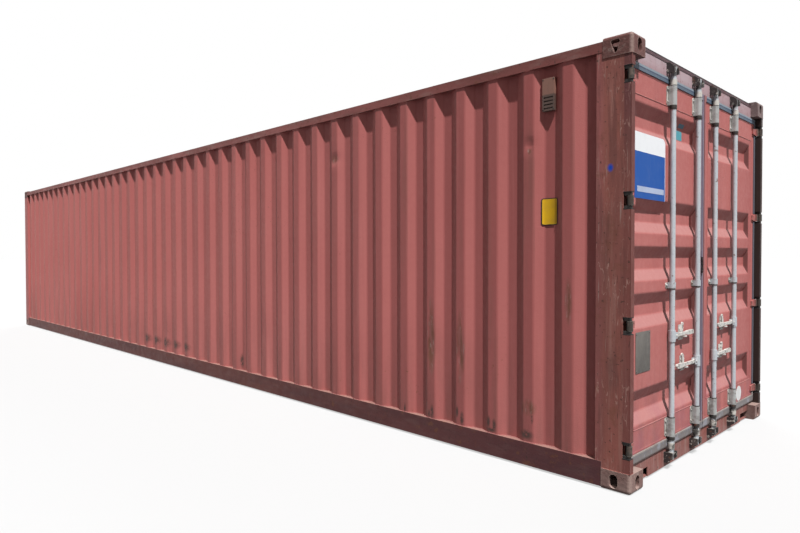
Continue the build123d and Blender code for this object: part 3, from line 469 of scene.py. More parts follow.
def rail_paint(name, base, far, dark, dust):
    """Rail paint, paler towards the far end, with knocks and rust along the edges."""
    paint = Finish(name, base)
    paint.fade(far, 0.9, "X", 5.7, 2)
    paint.patches(dark, 0.5, 1, 0.42, 0.62, (1.2, 8, 8), seed=1)
    paint.patches(DUST, dust, 1, 0.52, 0.68, (5, 18, 18), seed=2)
    paint.patches(RUST, 0.7, 20, 0.6, 0.72, seed=3)
    paint.patches(RUST_DARK, 0.8, 50, 0.66, 0.7, detail=2, seed=4)
    paint.rub(DUST, 0.7, 0.005, 9, 0.48, 0.62, seed=5)
    paint.layer(BROWN_PALE, 0.6, paint.upward(0.5, 0.8))
    paint.sheen(0.48, 0.72, 14, seed=6)
    paint.relief(0.0006, 90, seed=7)
    return paint.done()


def cast_paint():
    """Thick paint on rough castings, rubbed pale on the corners; down the rounded front corners of the rear
    castings the pale is partly rubbed paint, partly a painted highlight.
    """
    paint = Finish("casting_paint_worn", CASTING)
    paint.fade(CASTING_FOOT, 0.75, "Z", 0.5, 0.2)
    paint.patches(BROWN_DARK, 0.5, 8, 0.4, 0.62, seed=1)
    paint.patches(DUST, 0.45, 18, 0.56, 0.7, seed=2)
    paint.patches(RUST_DARK, 0.75, 36, 0.62, 0.7, seed=3)
    chalked = paint.times(paint.along("Z", 2.3, 2.4), paint.along("Y", 0.9, 1), paint.along("X", 5.8, 5.9))
    paint.layer(CASTING_CHALK, 0.55, chalked)
    # Paler down the rounded front corner of the rear castings: partly rubbed paint, partly a painted
    # highlight.
    paint.layer(DUST, 0.55, paint.along("X", 6.072, 6.088), paint.aside(1.195, 1.209))
    paint.layer(DUST, 0.6, paint.upward(0.5, 0.8), paint.along("Z", 0.5, 0.2))
    paint.rub(DUST, 0.75, 0.01, 12, 0.4, 0.56, seed=4)
    paint.sheen(0.5, 0.75, 20, seed=5)
    paint.relief(0.0012, 60, seed=6)
    return paint.done()


def header_paint():
    """Chalked pinkish paint of the door header, rubbed and stained under the drip, with painted shade in a
    near-black band along its top edge.
    """
    paint = Finish("header_paint_worn", HEADER)
    paint.patches(HEADER_PINK, 0.5, 3, 0.45, 0.65, (1, 1, 3), seed=1)
    paint.runs(HEADER_RUN, 0.5, 30, 4, 0.58, 0.7, seed=2)
    paint.fade(HEADER_CHALK, 0.35, "Y", 0.5, -0.3)
    paint.fade(HEADER_STAIN, 0.25, "Z", 2.5, 2.474)
    paint.fade(HEADER_PLUM, 0.92, "Z", 2.5505, 2.5515)
    # Painted shade: a near-black band along the header's top edge.
    paint.fade(HEADER_TOP_SHADE, 0.9, "Z", 2.566, 2.568)
    paint.layer(HEADER_SCAR, 0.9, paint.spot((6.043, -0.585, 2.545), (0.02, 0.03, 0.022)))
    paint.layer(BROWN_DARK, 0.85, paint.upward(0.4, 0.8))
    paint.layer(BROWN_DARK, 0.8, paint.aside(1.055, 1.062))
    paint.patches(RUST, 0.8, 50, 0.66, 0.7, detail=2, seed=3)
    paint.sheen(0.5, 0.7, 14, seed=4)
    return paint.done()


def galvanised(name, base=GALVANISED, pale=GALVANISED_PALE, rod=False, bracket=False, chips=False):
    """Dull zinc with a faint spangle, white bloom and rust specks; on the brackets, painted shade lies in the
    crease where each saddle meets its flange.
    """
    zinc = Finish(name, base, roughness=0.45, metallic=0.15, specular=0.4)
    zinc.runs(pale, 0.5, 40, 3, 0.45, 0.7, seed=1)
    zinc.patches(GALVANISED_DULL, 0.3, 55, 0.45, 0.65, detail=2, seed=2)
    if rod:
        cams = zinc.math("MAXIMUM", zinc.along("Z", 0.4, 0.35), zinc.along("Z", 2.3, 2.35))
        zinc.layer(CREAM, 0.9, cams, zinc.off_rods(0.0175, 0.0185))
        foot = zinc.math("MAXIMUM", zinc.along("Z", 0.2, 0.19), zinc.along("Z", 2.455, 2.465))
        zinc.layer(STEEL_DARK, 0.95, foot, zinc.grain(24, 0.6, 0.46, seed=7))
    if bracket:
        ahead = zinc.along("X", 6.05, 6.056)
        zinc.layer(SADDLE, 0.85, ahead)
        waist = zinc.times(zinc.along("Z", 1.1, 1.12), zinc.along("Z", 1.22, 1.2))
        zinc.layer(GALVANISED, 0.85, waist, ahead)
        near = zinc.beside_rods()
        # Painted shade in the crease where each saddle meets its flange.
        seam = zinc.times(zinc.rise(near, 0.0205, 0.0215), zinc.rise(near, 0.0275, 0.026))
        zinc.layer(BRACKET_CREASE_SHADE, 0.7, seam, zinc.along("X", 6.054, 6.051))
        zinc.patches(BRACKET_GREY, 0.55, 14, 0.52, 0.66, seed=8)
        zinc.layer(GRIME, 0.55, zinc.along("Z", 0.36, 0.3), zinc.grain(18, 0.45, 0.6, seed=10))
        zinc.rub(STEEL_DARK, 0.6, 0.006, 26, 0.42, 0.52, seed=11)
    if chips:
        zinc.patches(STEEL_DARK, 0.7, 48, 0.56, 0.62, seed=12)
    zinc.patches(RUST, 0.75, 30, 0.65, 0.7, seed=3)
    zinc.patches(STEEL_DARK, 0.8, 70, 0.66, 0.7, seed=9)
    zinc.rub(CREAM, 0.7, 0.003, 40, 0.45, 0.6, seed=4)
    zinc.sheen(0.38, 0.6, 26, seed=5)
    zinc.relief(0.0003, 110, seed=6)
    return zinc.done()


def dark_steel():
    """Black oiled steel of hinges and bushes, worn bright on edges."""
    steel = Finish("hinge_steel_worn", STEEL_DARK, roughness=0.5, specular=0.25)
    steel.patches(STEEL_BROWN, 0.6, 30, 0.5, 0.66, seed=1)
    steel.patches(RUST, 0.7, 24, 0.6, 0.68, seed=2)
    steel.rub(CREAM, 0.3, 0.003, 35, 0.46, 0.58, seed=3)
    steel.sheen(0.35, 0.65, 26, seed=4)
    steel.relief(0.0005, 90, seed=5)
    return steel.done()


def keeper_steel():
    """Dark forged steel that keeps chips of pale paint."""
    steel = Finish("keeper_steel_worn", KEEPER, roughness=0.55, specular=0.4)
    steel.patches(KEEPER_PALE, 0.6, 26, 0.57, 0.65, seed=1)
    steel.patches(CREAM, 0.8, 38, 0.59, 0.62, seed=2)
    steel.patches(RUST, 0.6, 30, 0.6, 0.66, seed=3)
    steel.rub(CREAM, 0.5, 0.003, 30, 0.5, 0.6, seed=4)
    steel.sheen(0.4, 0.68, 26, seed=5)
    steel.relief(0.0005, 90, seed=6)
    return steel.done()


def blade_paint():
    """Door paint on the strap, bare dark steel on the knuckle."""
    paint = Finish("hinge_blade_worn", RED, roughness=0.55)
    paint.patches(DEEP, 0.5, 20, 0.45, 0.62, seed=1)
    paint.layer(BROWN_DARK, 0.75, paint.aside(1.15, 1.156))
    paint.layer(KNUCKLE, 1, paint.aside(1.168, 1.176))
    paint.patches(KNUCKLE_PALE, 0.55, 22, 0.52, 0.6, seed=5)
    paint.patches(RUST_DARK, 0.75, 40, 0.58, 0.68, seed=2)
    paint.rub(CREAM, 0.55, 0.004, 30, 0.42, 0.58, seed=3)
    paint.sheen(0.4, 0.65, 26, seed=4)
    return paint.done()


def rubber():
    """Door seal: blue-black at the head and sides, dusty grey at the foot."""
    seal = Finish("gasket_rubber_worn", RUBBER, roughness=0.55, specular=0.35)
    seal.patches(SEAL_DUSTY, 0.55, 1, 0.45, 0.7, (3, 30, 3), seed=1)
    seal.fade(SEAL_HEAD, 0.8, "Z", 2.418, 2.421)
    seal.fade(SEAL_GROOVE, 0.9, "Z", 2.4395, 2.4405)
    seal.fade(SEAL_LIP, 0.9, "Z", 2.4475, 2.4485)
    seal.layer(SEAL_SIDE, 0.7, seal.aside(1.118, 1.124))
    seal.fade(RUBBER_GREY, 0.9, "Z", 0.26, 0.16)
    seal.layer(SEAL_FOOT_LIP, 0.75, seal.along("Z", 0.179, 0.1805), seal.along("Z", 0.26, 0.25))
    foot = seal.along("Z", 0.22, 0.2)
    seal.layer(SEAL_BLOOM, 0.45, foot, seal.grain(9, 0.52, 0.6, seed=4))
    seal.layer(SEAL_MUD, 0.55, foot, seal.grain(13, 0.54, 0.62, seed=5))
    seal.fade(SEAL_SHADE, 0.8, "Z", 0.146, 0.14)
    seam = seal.times(seal.aside(0.048, 0.044), seal.along("Z", 0.19, 0.196))
    seal.layer(SEAM_PLUM, 0.85, seam)
    seal.layer(SEAM_RED, 0.9, seam, seal.along("Y", 0.002, 0.004))
    seal.patches(DUST, 0.35, 40, 0.6, 0.7, seed=2)
    seal.sheen(0.45, 0.7, 24, seed=3)
    return seal.done()


def plywood():
    """Floor boards, grain along the hold, scuffed by cargo."""
    wood = Finish("plywood_worn", WOOD, roughness=0.65)
    wood.patches(WOOD_DARK, 0.6, 1, 0.4, 0.65, (2, 45, 10), seed=1)
    wood.patches(WOOD_SCUFF, 0.55, 3, 0.48, 0.66, seed=2)
    wood.patches(WOOD_PALE, 0.5, 1, 0.64, 0.7, (1.5, 60, 10), seed=3)
    wood.relief(0.0006, 1, stretch=(6, 160, 20), seed=4)
    return wood.done()


def under_paint():
    """Dark underbody coating, dusty and rusted."""
    paint = Finish("underbody_coating", UNDER, roughness=0.75)
    paint.patches(UNDER_PALE, 0.6, 5, 0.45, 0.65, seed=1)
    paint.patches(RUST, 0.7, 22, 0.58, 0.68, seed=2)
    return paint.done()


def vent_plastic():
    """Tan moulded box, darker over its louvred lower half, with dirt runs."""
    plastic = Finish("vent_plastic_worn", TAN, roughness=0.55, specular=0.4)
    plastic.fade(VENT_DARK, 0.9, "Z", 2.345, 2.335)
    plastic.runs(DIRT, 0.45, 30, 6, 0.52, 0.7, seed=1)
    plastic.layer(DUST, 0.35, plastic.edges(0.003))
    return plastic.done()


def plain_coat(name, colour, stain, roughness=0.45):
    """Printed sheet or enamel with slight soiling."""
    coat = Finish(name, colour, roughness=roughness, specular=0.15)
    coat.patches(stain, 0.35, 14, 0.45, 0.72, seed=1)
    coat.runs(stain, 0.45, 50, 6, 0.6, 0.72, seed=2)
    coat.sheen(roughness - 0.08, roughness + 0.15, 30, seed=3)
    return coat.done()


def link(name, mesh, material, body, replaces=(), bends=None):
    """Puts a finished mesh in the scene on its body; bends are edges where a flat ends."""
    mesh.materials.append(material)
    mesh.shade_smooth()
    mesh.set_sharp_from_angle(angle=math.radians(35))
    if bends is not None:
        sharp = mesh.attributes["sharp_edge"].data
        flags = np.zeros(len(sharp), dtype=bool)
        sharp.foreach_get("value", flags)
        sharp.foreach_set("value", flags | bends)
    piece = bpy.data.objects.new(name, mesh)
    bpy.context.scene.collection.objects.link(piece)
    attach(piece, body)
    if replaces:
        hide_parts(*replaces)


def thin_solid(name, outer, inner, centres=None):
    """Closed mesh between two matching grids of points; centres decide how cells are halved."""
    rows, columns = outer.shape[:2]
    count = rows * columns
    index = np.arange(count).reshape(rows, columns)
    a, b, c, d = index[:-1, :-1], index[:-1, 1:], index[1:, 1:], index[1:, :-1]
    points = np.concatenate([outer.reshape(-1, 3), inner.reshape(-1, 3)])
    if centres is None:
        front = np.stack([a, b, c, d], -1).reshape(-1, 4)
    else:
        one = np.linalg.norm((points[a] + points[c]) / 2 - centres, axis=-1)
        two = np.linalg.norm((points[b] + points[d]) / 2 - centres, axis=-1)
        first = (one <= two)[..., None]
        low = np.where(first, np.stack([a, b, c], -1), np.stack([a, b, d], -1))
        high = np.where(first, np.stack([a, c, d], -1), np.stack([b, c, d], -1))
        front = np.concatenate([low.reshape(-1, 3), high.reshape(-1, 3)])
    border = np.concatenate([index[0], index[1:, -1], index[-1, -2::-1], index[-2:0:-1, 0]])
    after = np.roll(border, -1)
    rim = np.stack([after, border, border + count, after + count], -1)
    faces = front.tolist() + (front[:, ::-1] + count).tolist() + rim.tolist()
    mesh = bpy.data.meshes.new(name)
    mesh.from_pydata(points.tolist(), [], faces)
    shape = bmesh.new()
    shape.from_mesh(mesh)
    bmesh.ops.recalc_face_normals(shape, faces=shape.faces)
    shape.to_mesh(mesh)
    shape.free()
    return mesh


def column_edges(mesh, columns, chosen):
    """Which edges run up the chosen columns of a thin solid's grid."""
    ends = np.zeros(2 * len(mesh.edges), dtype=np.int32)
    mesh.edges.foreach_get("vertices", ends)
    ends = ends.reshape(-1, 2) % columns
    return (ends[:, 0] == ends[:, 1]) & np.isin(ends[:, 0], chosen)


def trapezoids(first, last, middles, crest, run, depth):
    """Corners along a corrugated sheet, as (along, outward)."""
    corners = [(first, -depth)]
    for middle in middles:
        rise, fall = middle - crest / 2, middle + crest / 2
        corners += [(rise - run, -depth), (rise, 0.0), (fall, 0.0), (fall + run, -depth)]
    return [Vector(corner) for corner in corners + [(last, -depth)]]


def bent(corners, reach, dents=()):
    """Points along a bent sheet, closer at dents, and which of them end a flat."""
    points, ends = [corners[0]], []
    for before, corner, after in zip(corners, corners[1:], corners[2:]):
        start = corner + (before - corner).normalized() * reach
        end = corner + (after - corner).normalized() * reach
        middle = (points[-1] + start) / 2
        if any(abs(middle.x - dent[0]) < 3 * dent[2] for dent in dents):
            points += [(points[-1] + middle) / 2, middle, (middle + start) / 2]
        ends += [len(points), len(points) + 2]
        points += [start, (start + 2 * corner + end) / 4, end]
    points.append(corners[-1])
    return np.array([tuple(point) for point in points]), ends


def unevenness(along, z, size, seed):
    """Slow waves of a thin sheet that has been knocked about."""
    return size * noise.noise(Vector((1.6 * along + seed, seed, 1.1 * z)))


def dented(along, z, dents):
    return sum(
        -depth * math.exp(-(((along - x) / reach_x) ** 2) - ((z - height) / reach_z) ** 2)
        for x, height, reach_x, reach_z, depth in dents
        if abs(along - x) < 3 * reach_x
    )


def wall_rows(low, high, count, dents):
    """Heights for a wall's grid, closer together at its dents."""
    heights = set(np.linspace(low, high, count))
    for _, z, _, reach, _ in dents:
        heights |= {h for h in np.linspace(z - 1.5 * reach, z + 1.5 * reach, 5) if low < h < high}
    return sorted(heights)


def held(reach, *gaps):
    """0 at an edge that is held, 1 from the reach inward."""
    return min(1.0, *(gap / reach for gap in gaps))


def side_corners(side, inset=0.0):
    """Bends of a side wall and how far its crests stand from the middle plane."""
    low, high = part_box(f"{side}_side_wall")
    middles = [LAST_CREST_X - SIDE_PITCH * i for i in reversed(range(SIDE_CRESTS))]
    corners = trapezoids(low.x + inset, high.x - inset, middles, SIDE_CREST, SIDE_RUN, SIDE_DEPTH)
    return corners, max(abs(low.y), abs(high.y))


def corrugated(name, node, bends, heights, place, inward, material):
    """Sheet over bends and heights; place gives its points and inward leads to its other face."""
    profile, ends = bends
    first, last = profile[0][0], profile[-1][0]
    outer = np.zeros((len(heights), len(profile), 3))
    for row, z in enumerate(heights):
        upright = held(WALL_HOLD, z - heights[0], heights[-1] - z)
        for column, (along, out) in enumerate(profile):
            free = upright * held(EDGE_HOLD, along - first, last - along)
            outer[row, column] = place(along, out, z, free)
    mesh = thin_solid(name, outer, outer + np.array(inward))
    flat_ends = column_edges(mesh, len(profile), ends)
    link(name, mesh, material, "container", [node], flat_ends)


def side_wall(side, dents, seed, material):
    """Corrugated wall with rounded bends, waves and dents."""
    node = f"{side}_side_wall"
    low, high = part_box(node)
    way = SIDES[side]
    corners, face = side_corners(side)

    def place(x, out, z, free):
        bulge = unevenness(x, z, SIDE_WAVE, seed) + dented(x, z, dents)
        return x, way * (face + out + free * bulge - SIDE_INSET), z

    heights = wall_rows(low.z, high.z, SIDE_ROWS, dents)
    inward = (0.0, -way * SHEET, 0.0)
    corrugated(f"{side}_wall_sheet", node, bent(corners, BEND, dents), heights, place, inward, material)


def front_wall(material):
    """Corrugated wall of the front end, with sharper bends and waves."""
    low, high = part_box("front_wall")
    middles = [FRONT_PITCH * (i - (FRONT_CRESTS - 1) / 2) for i in range(FRONT_CRESTS)]
    corners = trapezoids(low.y, high.y, middles, FRONT_CREST, FRONT_RUN, FRONT_DEPTH)

    def place(y, out, z, free):
        return low.x - out - free * unevenness(y, z, FRONT_WAVE, FRONT_SEED), y, z

    heights = np.linspace(low.z, high.z, SIDE_ROWS)
    inward = (SHEET, 0.0, 0.0)
    corrugated("front_wall_sheet", "front_wall", bent(corners, BEND / 2), heights, place, inward, material)


def soft_step(distance, run, reach):
    """0 outside a pressed form's edge, 1 past its slope, with rounded bends."""
    def bend(value):
        if value < -reach:
            return 0.0
        return value if value > reach else (value + reach) ** 2 / (4 * reach)
    return (bend(distance) - bend(distance - run)) / run


def edge_lines(low, high, run, reach):
    """Grid lines across both slopes of a pressed form."""
    bend = np.array([-reach - GUARD, -reach, 0.0, reach, reach + GUARD])
    steps = np.concatenate([bend, run + bend])
    return set((low + steps).round(5)) | set((high - steps).round(5))


def door_panel(side, material):
    """Pressed sheet of a door with its five troughs."""
    node = f"{side}_door_panel"
    low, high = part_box(node)
    way = SIDES[side]
    y_low, y_high = sorted((abs(low.y), abs(high.y)))
    first, last = TROUGH_ENDS[side]

    def point(y, z):
        into = max(TROUGH_HALF_Z - abs(z - middle) for middle in TROUGH_HEIGHTS)
        ends = min(y - first, last - y)
        slope, end = soft_step(into, TROUGH_RUN, BEND), soft_step(ends, TROUGH_END_RUN, END_BEND)
        free = held(EDGE_HOLD, y - y_low, y_high - y, z - low.z, high.z - z)
        wave = abs(free * unevenness(y, z, DOOR_WAVE, DOOR_SEED + way))
        return DOOR_FACE - TROUGH_DEPTH * min(slope, end) - wave, way * y, z

    across = edge_lines(first, last, TROUGH_END_RUN, END_BEND) | set(np.linspace(y_low, y_high, DOOR_COLUMNS))
    up = set(np.linspace(low.z, high.z, DOOR_ROWS))
    for z in TROUGH_HEIGHTS:
        up |= edge_lines(z - TROUGH_HALF_Z, z + TROUGH_HALF_Z, TROUGH_RUN, BEND)
    across, up = np.array(sorted(across)), np.array(sorted(up))
    outer = np.array([[point(y, z) for y in across] for z in up])
    y_middles, z_middles = (across[1:] + across[:-1]) / 2, (up[1:] + up[:-1]) / 2
    centres = np.array([[point(y, z) for y in y_middles] for z in z_middles])
    mesh = thin_solid(f"{side}_door_sheet", outer, outer - np.array([SHEET, 0.0, 0.0]), centres)
    link(f"{side}_door_sheet", mesh, material, f"{side}_door", [node])


def roof(material):
    """Roof sheet with its pressed ribs, sagging a little between them."""
    low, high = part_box("roof_panel")
    reach = RIB_RUN / 4
    middles = [RIB_PITCH * (i - (RIB_COUNT - 1) / 2) for i in range(RIB_COUNT)]
    lines = {low.x, high.x}
    for x in middles:
        lines |= edge_lines(x - RIB_HALF_X, x + RIB_HALF_X, RIB_RUN, reach) | {round(x, 5)}
    along = sorted(lines)
    across = edge_lines(-RIB_HALF_Y, RIB_HALF_Y, RIB_RUN, reach)
    across = sorted(across | set(np.linspace(low.y, high.y, ROOF_ROWS)))
    outer = np.zeros((len(across), len(along), 3))
    for column, x in enumerate(along):
        into = max(RIB_HALF_X - abs(x - middle) for middle in middles)
        for row, y in enumerate(across):
            rise = RIB_RISE * soft_step(min(into, RIB_HALF_Y - abs(y)), RIB_RUN, reach)
            free = min(held(ROOF_HOLD_Y, high.y - abs(y)), held(ROOF_HOLD_X, high.x - abs(x)))
            sag = free * (unevenness(x, y, ROOF_WAVE, ROOF_SEED) - ROOF_SAG)
            outer[row, column] = (x, y, low.z + SHEET + rise + sag)
    mesh = thin_solid("roof_sheet", outer, outer - np.array([0.0, 0.0, SHEET]))
    link("roof_sheet", mesh, material, "container", ["roof_panel"])


def ring(radius, height, sides):
    """Points around a circle about Z."""
    angles = [2 * math.pi * i / sides for i in range(sides)]
    return [Vector((radius * math.cos(angle), radius * math.sin(angle), height)) for angle in angles]


def turned(axis):
    """Turns Z to an axis."""
    return Vector((0, 0, 1)).rotation_difference(Vector(axis)).to_matrix()


class Shape:
    """Small solids gathered into one mesh."""

    def __init__(self):
        self.bm = bmesh.new()

    def skin(self, rings):
        """Solid over rings of points, closed at both ends."""
        rings = [[self.bm.verts.new(point) for point in points] for points in rings]
        for one, two in zip(rings, rings[1:]):
            for i in range(len(one)):
                j = (i + 1) % len(one)
                self.bm.faces.new((one[i], one[j], two[j], two[i]))
        self.bm.faces.new(rings[0][::-1])
        self.bm.faces.new(rings[-1])

    def lathe(self, profile, at, axis=(0, 0, 1), sides=20):
        """Turned form: (radius, height) points about an axis."""
        turn = turned(axis)
        self.skin([[Vector(at) + turn @ point for point in ring(*size, sides)] for size in profile])

    def bolt(self, at, radius, tall, axis=(1, 0, 0)):
        """Domed head on a washer."""
        self.lathe(
            [(1.45 * radius, 0.0), (1.45 * radius, 0.2 * tall), (radius, 0.22 * tall), (radius, 0.7 * tall),
             (0.75 * radius, 0.93 * tall), (0.3 * radius, tall)],
            at, axis, 14,
        )

    def plate(self, low, high, round_to=0.0, bevel=0.001, across=0):
        """Flat block with softened edges; round_to rounds the four edges along one axis."""
        low, high = Vector(low), Vector(high)
        box = bmesh.ops.create_cube(self.bm, size=1.0)["verts"]
        for vert in box:
            vert.co = Vector(((low[i] + high[i]) / 2 + vert.co[i] * (high[i] - low[i]) for i in range(3)))
        edges = list({edge for vert in box for edge in vert.link_edges})
        if round_to:
            corners = [e for e in edges if abs(e.verts[0].co[across] - e.verts[1].co[across]) > 1e-6]
            made = bmesh.ops.bevel(
                self.bm, geom=corners, offset=round_to, segments=6, affect="EDGES", profile=0.5
            )
            faces = {face for vert in made["verts"] for face in vert.link_faces}
            edges = list({edge for face in faces for edge in face.edges if edge.calc_face_angle(0) > 1.2})
        if bevel:
            bmesh.ops.bevel(self.bm, geom=edges, offset=bevel, segments=2, affect="EDGES", profile=0.5)

    def slab(self, outline, back, front):
        """Flat sheet between two planes across X, from an outline of (y, z) points."""
        self.skin([[(x, y, z) for y, z in outline] for x in (back, front)])

    def tube(self, points, radius, sides=6):
        """Round bead along points, a little uneven."""
        points = [Vector(point) for point in points]
        rings = []
        for i, point in enumerate(points):
            turn = turned((points[min(i + 1, len(points) - 1)] - points[max(i - 1, 0)]).normalized())
            size = radius * (1 + 0.25 * math.sin(2.4 * i))
            rings.append([point + turn @ local for local in ring(size, 0, sides)])
        self.skin(rings)

    def lay_on_wall(self):
        """Bends a flat piece into the valley between the left wall's last two crests."""
        reach = SIDE_PITCH / 2 - SIDE_CREST / 2 - SIDE_RUN
        middle = LAST_CREST_X - SIDE_PITCH / 2
        for x in (middle - reach, middle + reach):
            everything = self.bm.verts[:] + self.bm.edges[:] + self.bm.faces[:]
            bmesh.ops.bisect_plane(self.bm, geom=everything, plane_co=(x, 0, 0), plane_no=(1, 0, 0))
        floor = max(abs(corner.y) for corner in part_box("left_side_wall")) - SIDE_DEPTH
        for vert in self.bm.verts:
            climb = max(0.0, abs(vert.co.x - middle) - reach) * SIDE_DEPTH / SIDE_RUN
            vert.co.y -= floor + climb

    def put(self, name, material, body, slot):
        """Puts the solids in the scene as one piece."""
        bmesh.ops.recalc_face_normals(self.bm, faces=self.bm.faces)
        mesh = bpy.data.meshes.new(name)
        self.bm.to_mesh(mesh)
        self.bm.free()
        link(name, mesh, material, body)


def bracket_bolts(side, material):
    """Bolt heads on the flanges of a door's rod brackets."""
    shape = Shape()
    for rod_y, _, _ in GEAR.values():
        for z0, z1 in BRACKETS:
            pair = (z0 + BRACKET_BOLT_Z, z1 - BRACKET_BOLT_Z)
            for z in pair if z1 - z0 > TALL_BRACKET else ((z0 + z1) / 2,):
                for offset in (-BRACKET_BOLT_Y, BRACKET_BOLT_Y):
                    shape.bolt((BRACKET_FACE, SIDES[side] * (rod_y + offset), z), *BRACKET_BOLT)
    shape.put(f"{side}_bracket_bolts", material, f"{side}_door", "gear_paint")


def bracket_bushes(side, material):
    """Dark bushes that stand out of the rod brackets."""
    shape = Shape()
    for rod_y, _, _ in GEAR.values():
        for (z0, z1), (below, above) in zip(BRACKETS, BUSHES):
            for low, tall in ((z0 - below, below), (z1, above)):
                if tall:
                    half = [(BUSH_BORE, 0), (BUSH_RIM, BUSH_EDGE), (BUSH_BELLY, tall / 2)]
                    profile = half + [(BUSH_RIM, tall - BUSH_EDGE), (BUSH_BORE, tall)]
                    shape.lathe(profile, (ROD_X, SIDES[side] * rod_y, low))
    shape.put(f"{side}_bracket_bushes", material, f"{side}_door", "hinge_steel")


def sign_board(material, band):
    """Blank board on the left door, white above and blue below, with a pale band."""
    board, strip = Shape(), Shape()
    (y0, z0), (y1, z1) = SIGN
    arc = [SIGN_ROUND * Vector((math.cos(a), math.sin(a))) for a in np.radians(np.linspace(0, 90, 7))]
    corner = [(y1 - SIGN_ROUND + step.x, z1 - SIGN_ROUND + step.y) for step in arc]
    board.slab([(y0, z0), (y1, z0)] + corner + [(y0, z1)], DOOR_FACE, DOOR_FACE + SIGN_THICK)
    low, high = SIGN_BAND
    strip.plate((DOOR_FACE + BAND_BACK, *low), (DOOR_FACE + BAND_FRONT, *high), LABEL_ROUND, 0.0)
    board.put("sign_board", material, "left_door", "header_paint")
    strip.put("sign_band", band, "left_door", "header_paint")


def board_enamel():
    """Enamel in two colours that meet at a height, with a pale edge."""
    coat = Finish("board_enamel", BOARD_BLUE, roughness=0.5, specular=0.12)
    coat.fade(BOARD_WHITE, 1.0, "Z", SIGN_SPLIT - 0.0005, SIGN_SPLIT + 0.0005)
    coat.fade(BOARD_WHITE, 0.6, "Y", SIGN_EDGE - 0.0005, SIGN_EDGE + 0.0005)
    coat.patches(BOARD_SOIL, 0.06, 14.0, 0.48, 0.75, seed=1)
    coat.runs(BOARD_SOIL, 0.1, 50.0, 6.0, 0.62, 0.74, seed=2)
    return coat.done()


def bare_plate(material):
    """Plate on the left door with a rivet at each corner."""
    shape = Shape()
    low, high = PLATE
    face = DOOR_FACE + PLATE_THICK
    shape.plate((DOOR_FACE, *low), (face, *high), 0.006, 0.0006)
    for y in (low[0] + RIVET_INSET[0], high[0] - RIVET_INSET[0]):
        for z in (low[1] + RIVET_INSET[1], high[1] - RIVET_INSET[1]):
            shape.bolt((face, y, z), *PLATE_RIVET)
    shape.put("bare_plate", material, "left_door", "gear_paint")


def mark_plate(name, inset, back, material):
    """Blank plate that lies in a valley of the left wall."""
    shape = Shape()
    (x0, z0), (x1, z1) = MARK
    low, high = (x0 + inset, -back - MARK_THICK, z0 + inset), (x1 - inset, -back, z1 - inset)
    shape.plate(low, high, MARK_ROUND - inset, 0.0, across=1)
    shape.lay_on_wall()
    shape.put(name, material, "container", "header_paint")


def round_sticker(material):
    """Blank disc low on the right door."""
    shape = Shape()
    shape.lathe(DISC, (DOOR_FACE, *DISC_AT), (1, 0, 0), 40)
    shape.put("round_sticker", material, "right_door", "header_paint")


def trough_sticker(name, heights, lean, material):
    """Blank label in the left door's top trough, on its floor or leaning with its slope."""
    shape = Shape()
    floor = DOOR_FACE - TROUGH_DEPTH
    slope_z = TROUGH_HEIGHTS[-1] + TROUGH_HALF_Z - TROUGH_RUN
    low, high = zip(STICKER_Y, heights)
    shape.plate((floor - STICKER_HALF, *low), (floor + STICKER_HALF, *high), LABEL_ROUND, 0.0)
    for vert in shape.bm.verts:
        vert.co.x += lean * (vert.co.z - slope_z)
    shape.put(name, material, "left_door", "header_paint")


def torn_seal(material):
    """Piece of seal that hangs at the seam."""
    shape = Shape()
    heights = np.arange(*TORN_Z, TORN_STEP)
    shape.tube([(TORN_X, TORN_Y + 0.003 * math.sin(70 * z), z) for z in heights], 0.006, 8)
    shape.tube([(TORN_X, y, 1.252 + 0.1 * y) for y in np.arange(-0.03, -0.008, 0.005)], 0.005, 8)
    shape.put("torn_seal", material, "left_door", "gasket_rubber")


def seam_flap(material):
    """Edge of the seal that laps over the left door beside the seam."""
    shape = Shape()
    low, high = FLAP
    shape.plate((DOOR_FACE, *low), (DOOR_FACE + FLAP_THICK, *high))
    shape.put("left_seam_flap", material, "left_door", "gasket_rubber")


def weld_lines(material):
    """Weld beads where the door sheets meet their frames."""
    for side, way in SIDES.items():
        low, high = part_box(f"{side}_door_panel")
        y_low, y_high = sorted((abs(low.y), abs(high.y)))
        shape = Shape()
        for z in (low.z, high.z):
            steps = np.arange(y_low + WELD_START, y_high, ACROSS_STEP)
            shape.tube([(DOOR_FACE, way * y, z) for y in steps], ACROSS_WELD)
        for y in (y_low, y_high):
            steps = np.arange(low.z + WELD_START, high.z, UP_STEP)
            shape.tube([(DOOR_FACE, way * y, z) for z in steps], UP_WELD)
        shape.put(f"{side}_door_welds", material, f"{side}_door", "wall_paint")


def gasket_strips(side, material):
    """Riveted strips that hold the seal at the head and foot of a door."""
    shape = Shape()
    y_low, y_high = sorted(SIDES[side] * y for y in STRIP_Y)
    for z in STRIP_HEIGHTS:
        low, high = (DOOR_FACE, y_low, z - STRIP_TALL / 2), (STRIP_FACE, y_high, z + STRIP_TALL / 2)
        shape.plate(low, high, bevel=0.0008)
        for y in np.arange(y_low + RIVET_FIRST, y_high, RIVET_PITCH):
            shape.bolt((STRIP_FACE, y, z), *STRIP_RIVET)
    shape.put(f"{side}_gasket_strips", material, f"{side}_door", "wall_paint")


def catch_bolts(side, material):
    """Bolt heads on the bases of a door's handle catches."""
    shape = Shape()
    for rod_y, way, z in GEAR.values():
        for offset in (-CATCH_BOLT_Y, CATCH_BOLT_Y):
            for rise in CATCH_BOLT_Z:
                y = SIDES[side] * (rod_y + way * CATCH_AT + offset)
                shape.bolt((BRACKET_FACE, y, z + rise), *CATCH_BOLT)
    shape.put(f"{side}_catch_bolts", material, f"{side}_door", "gear_paint")


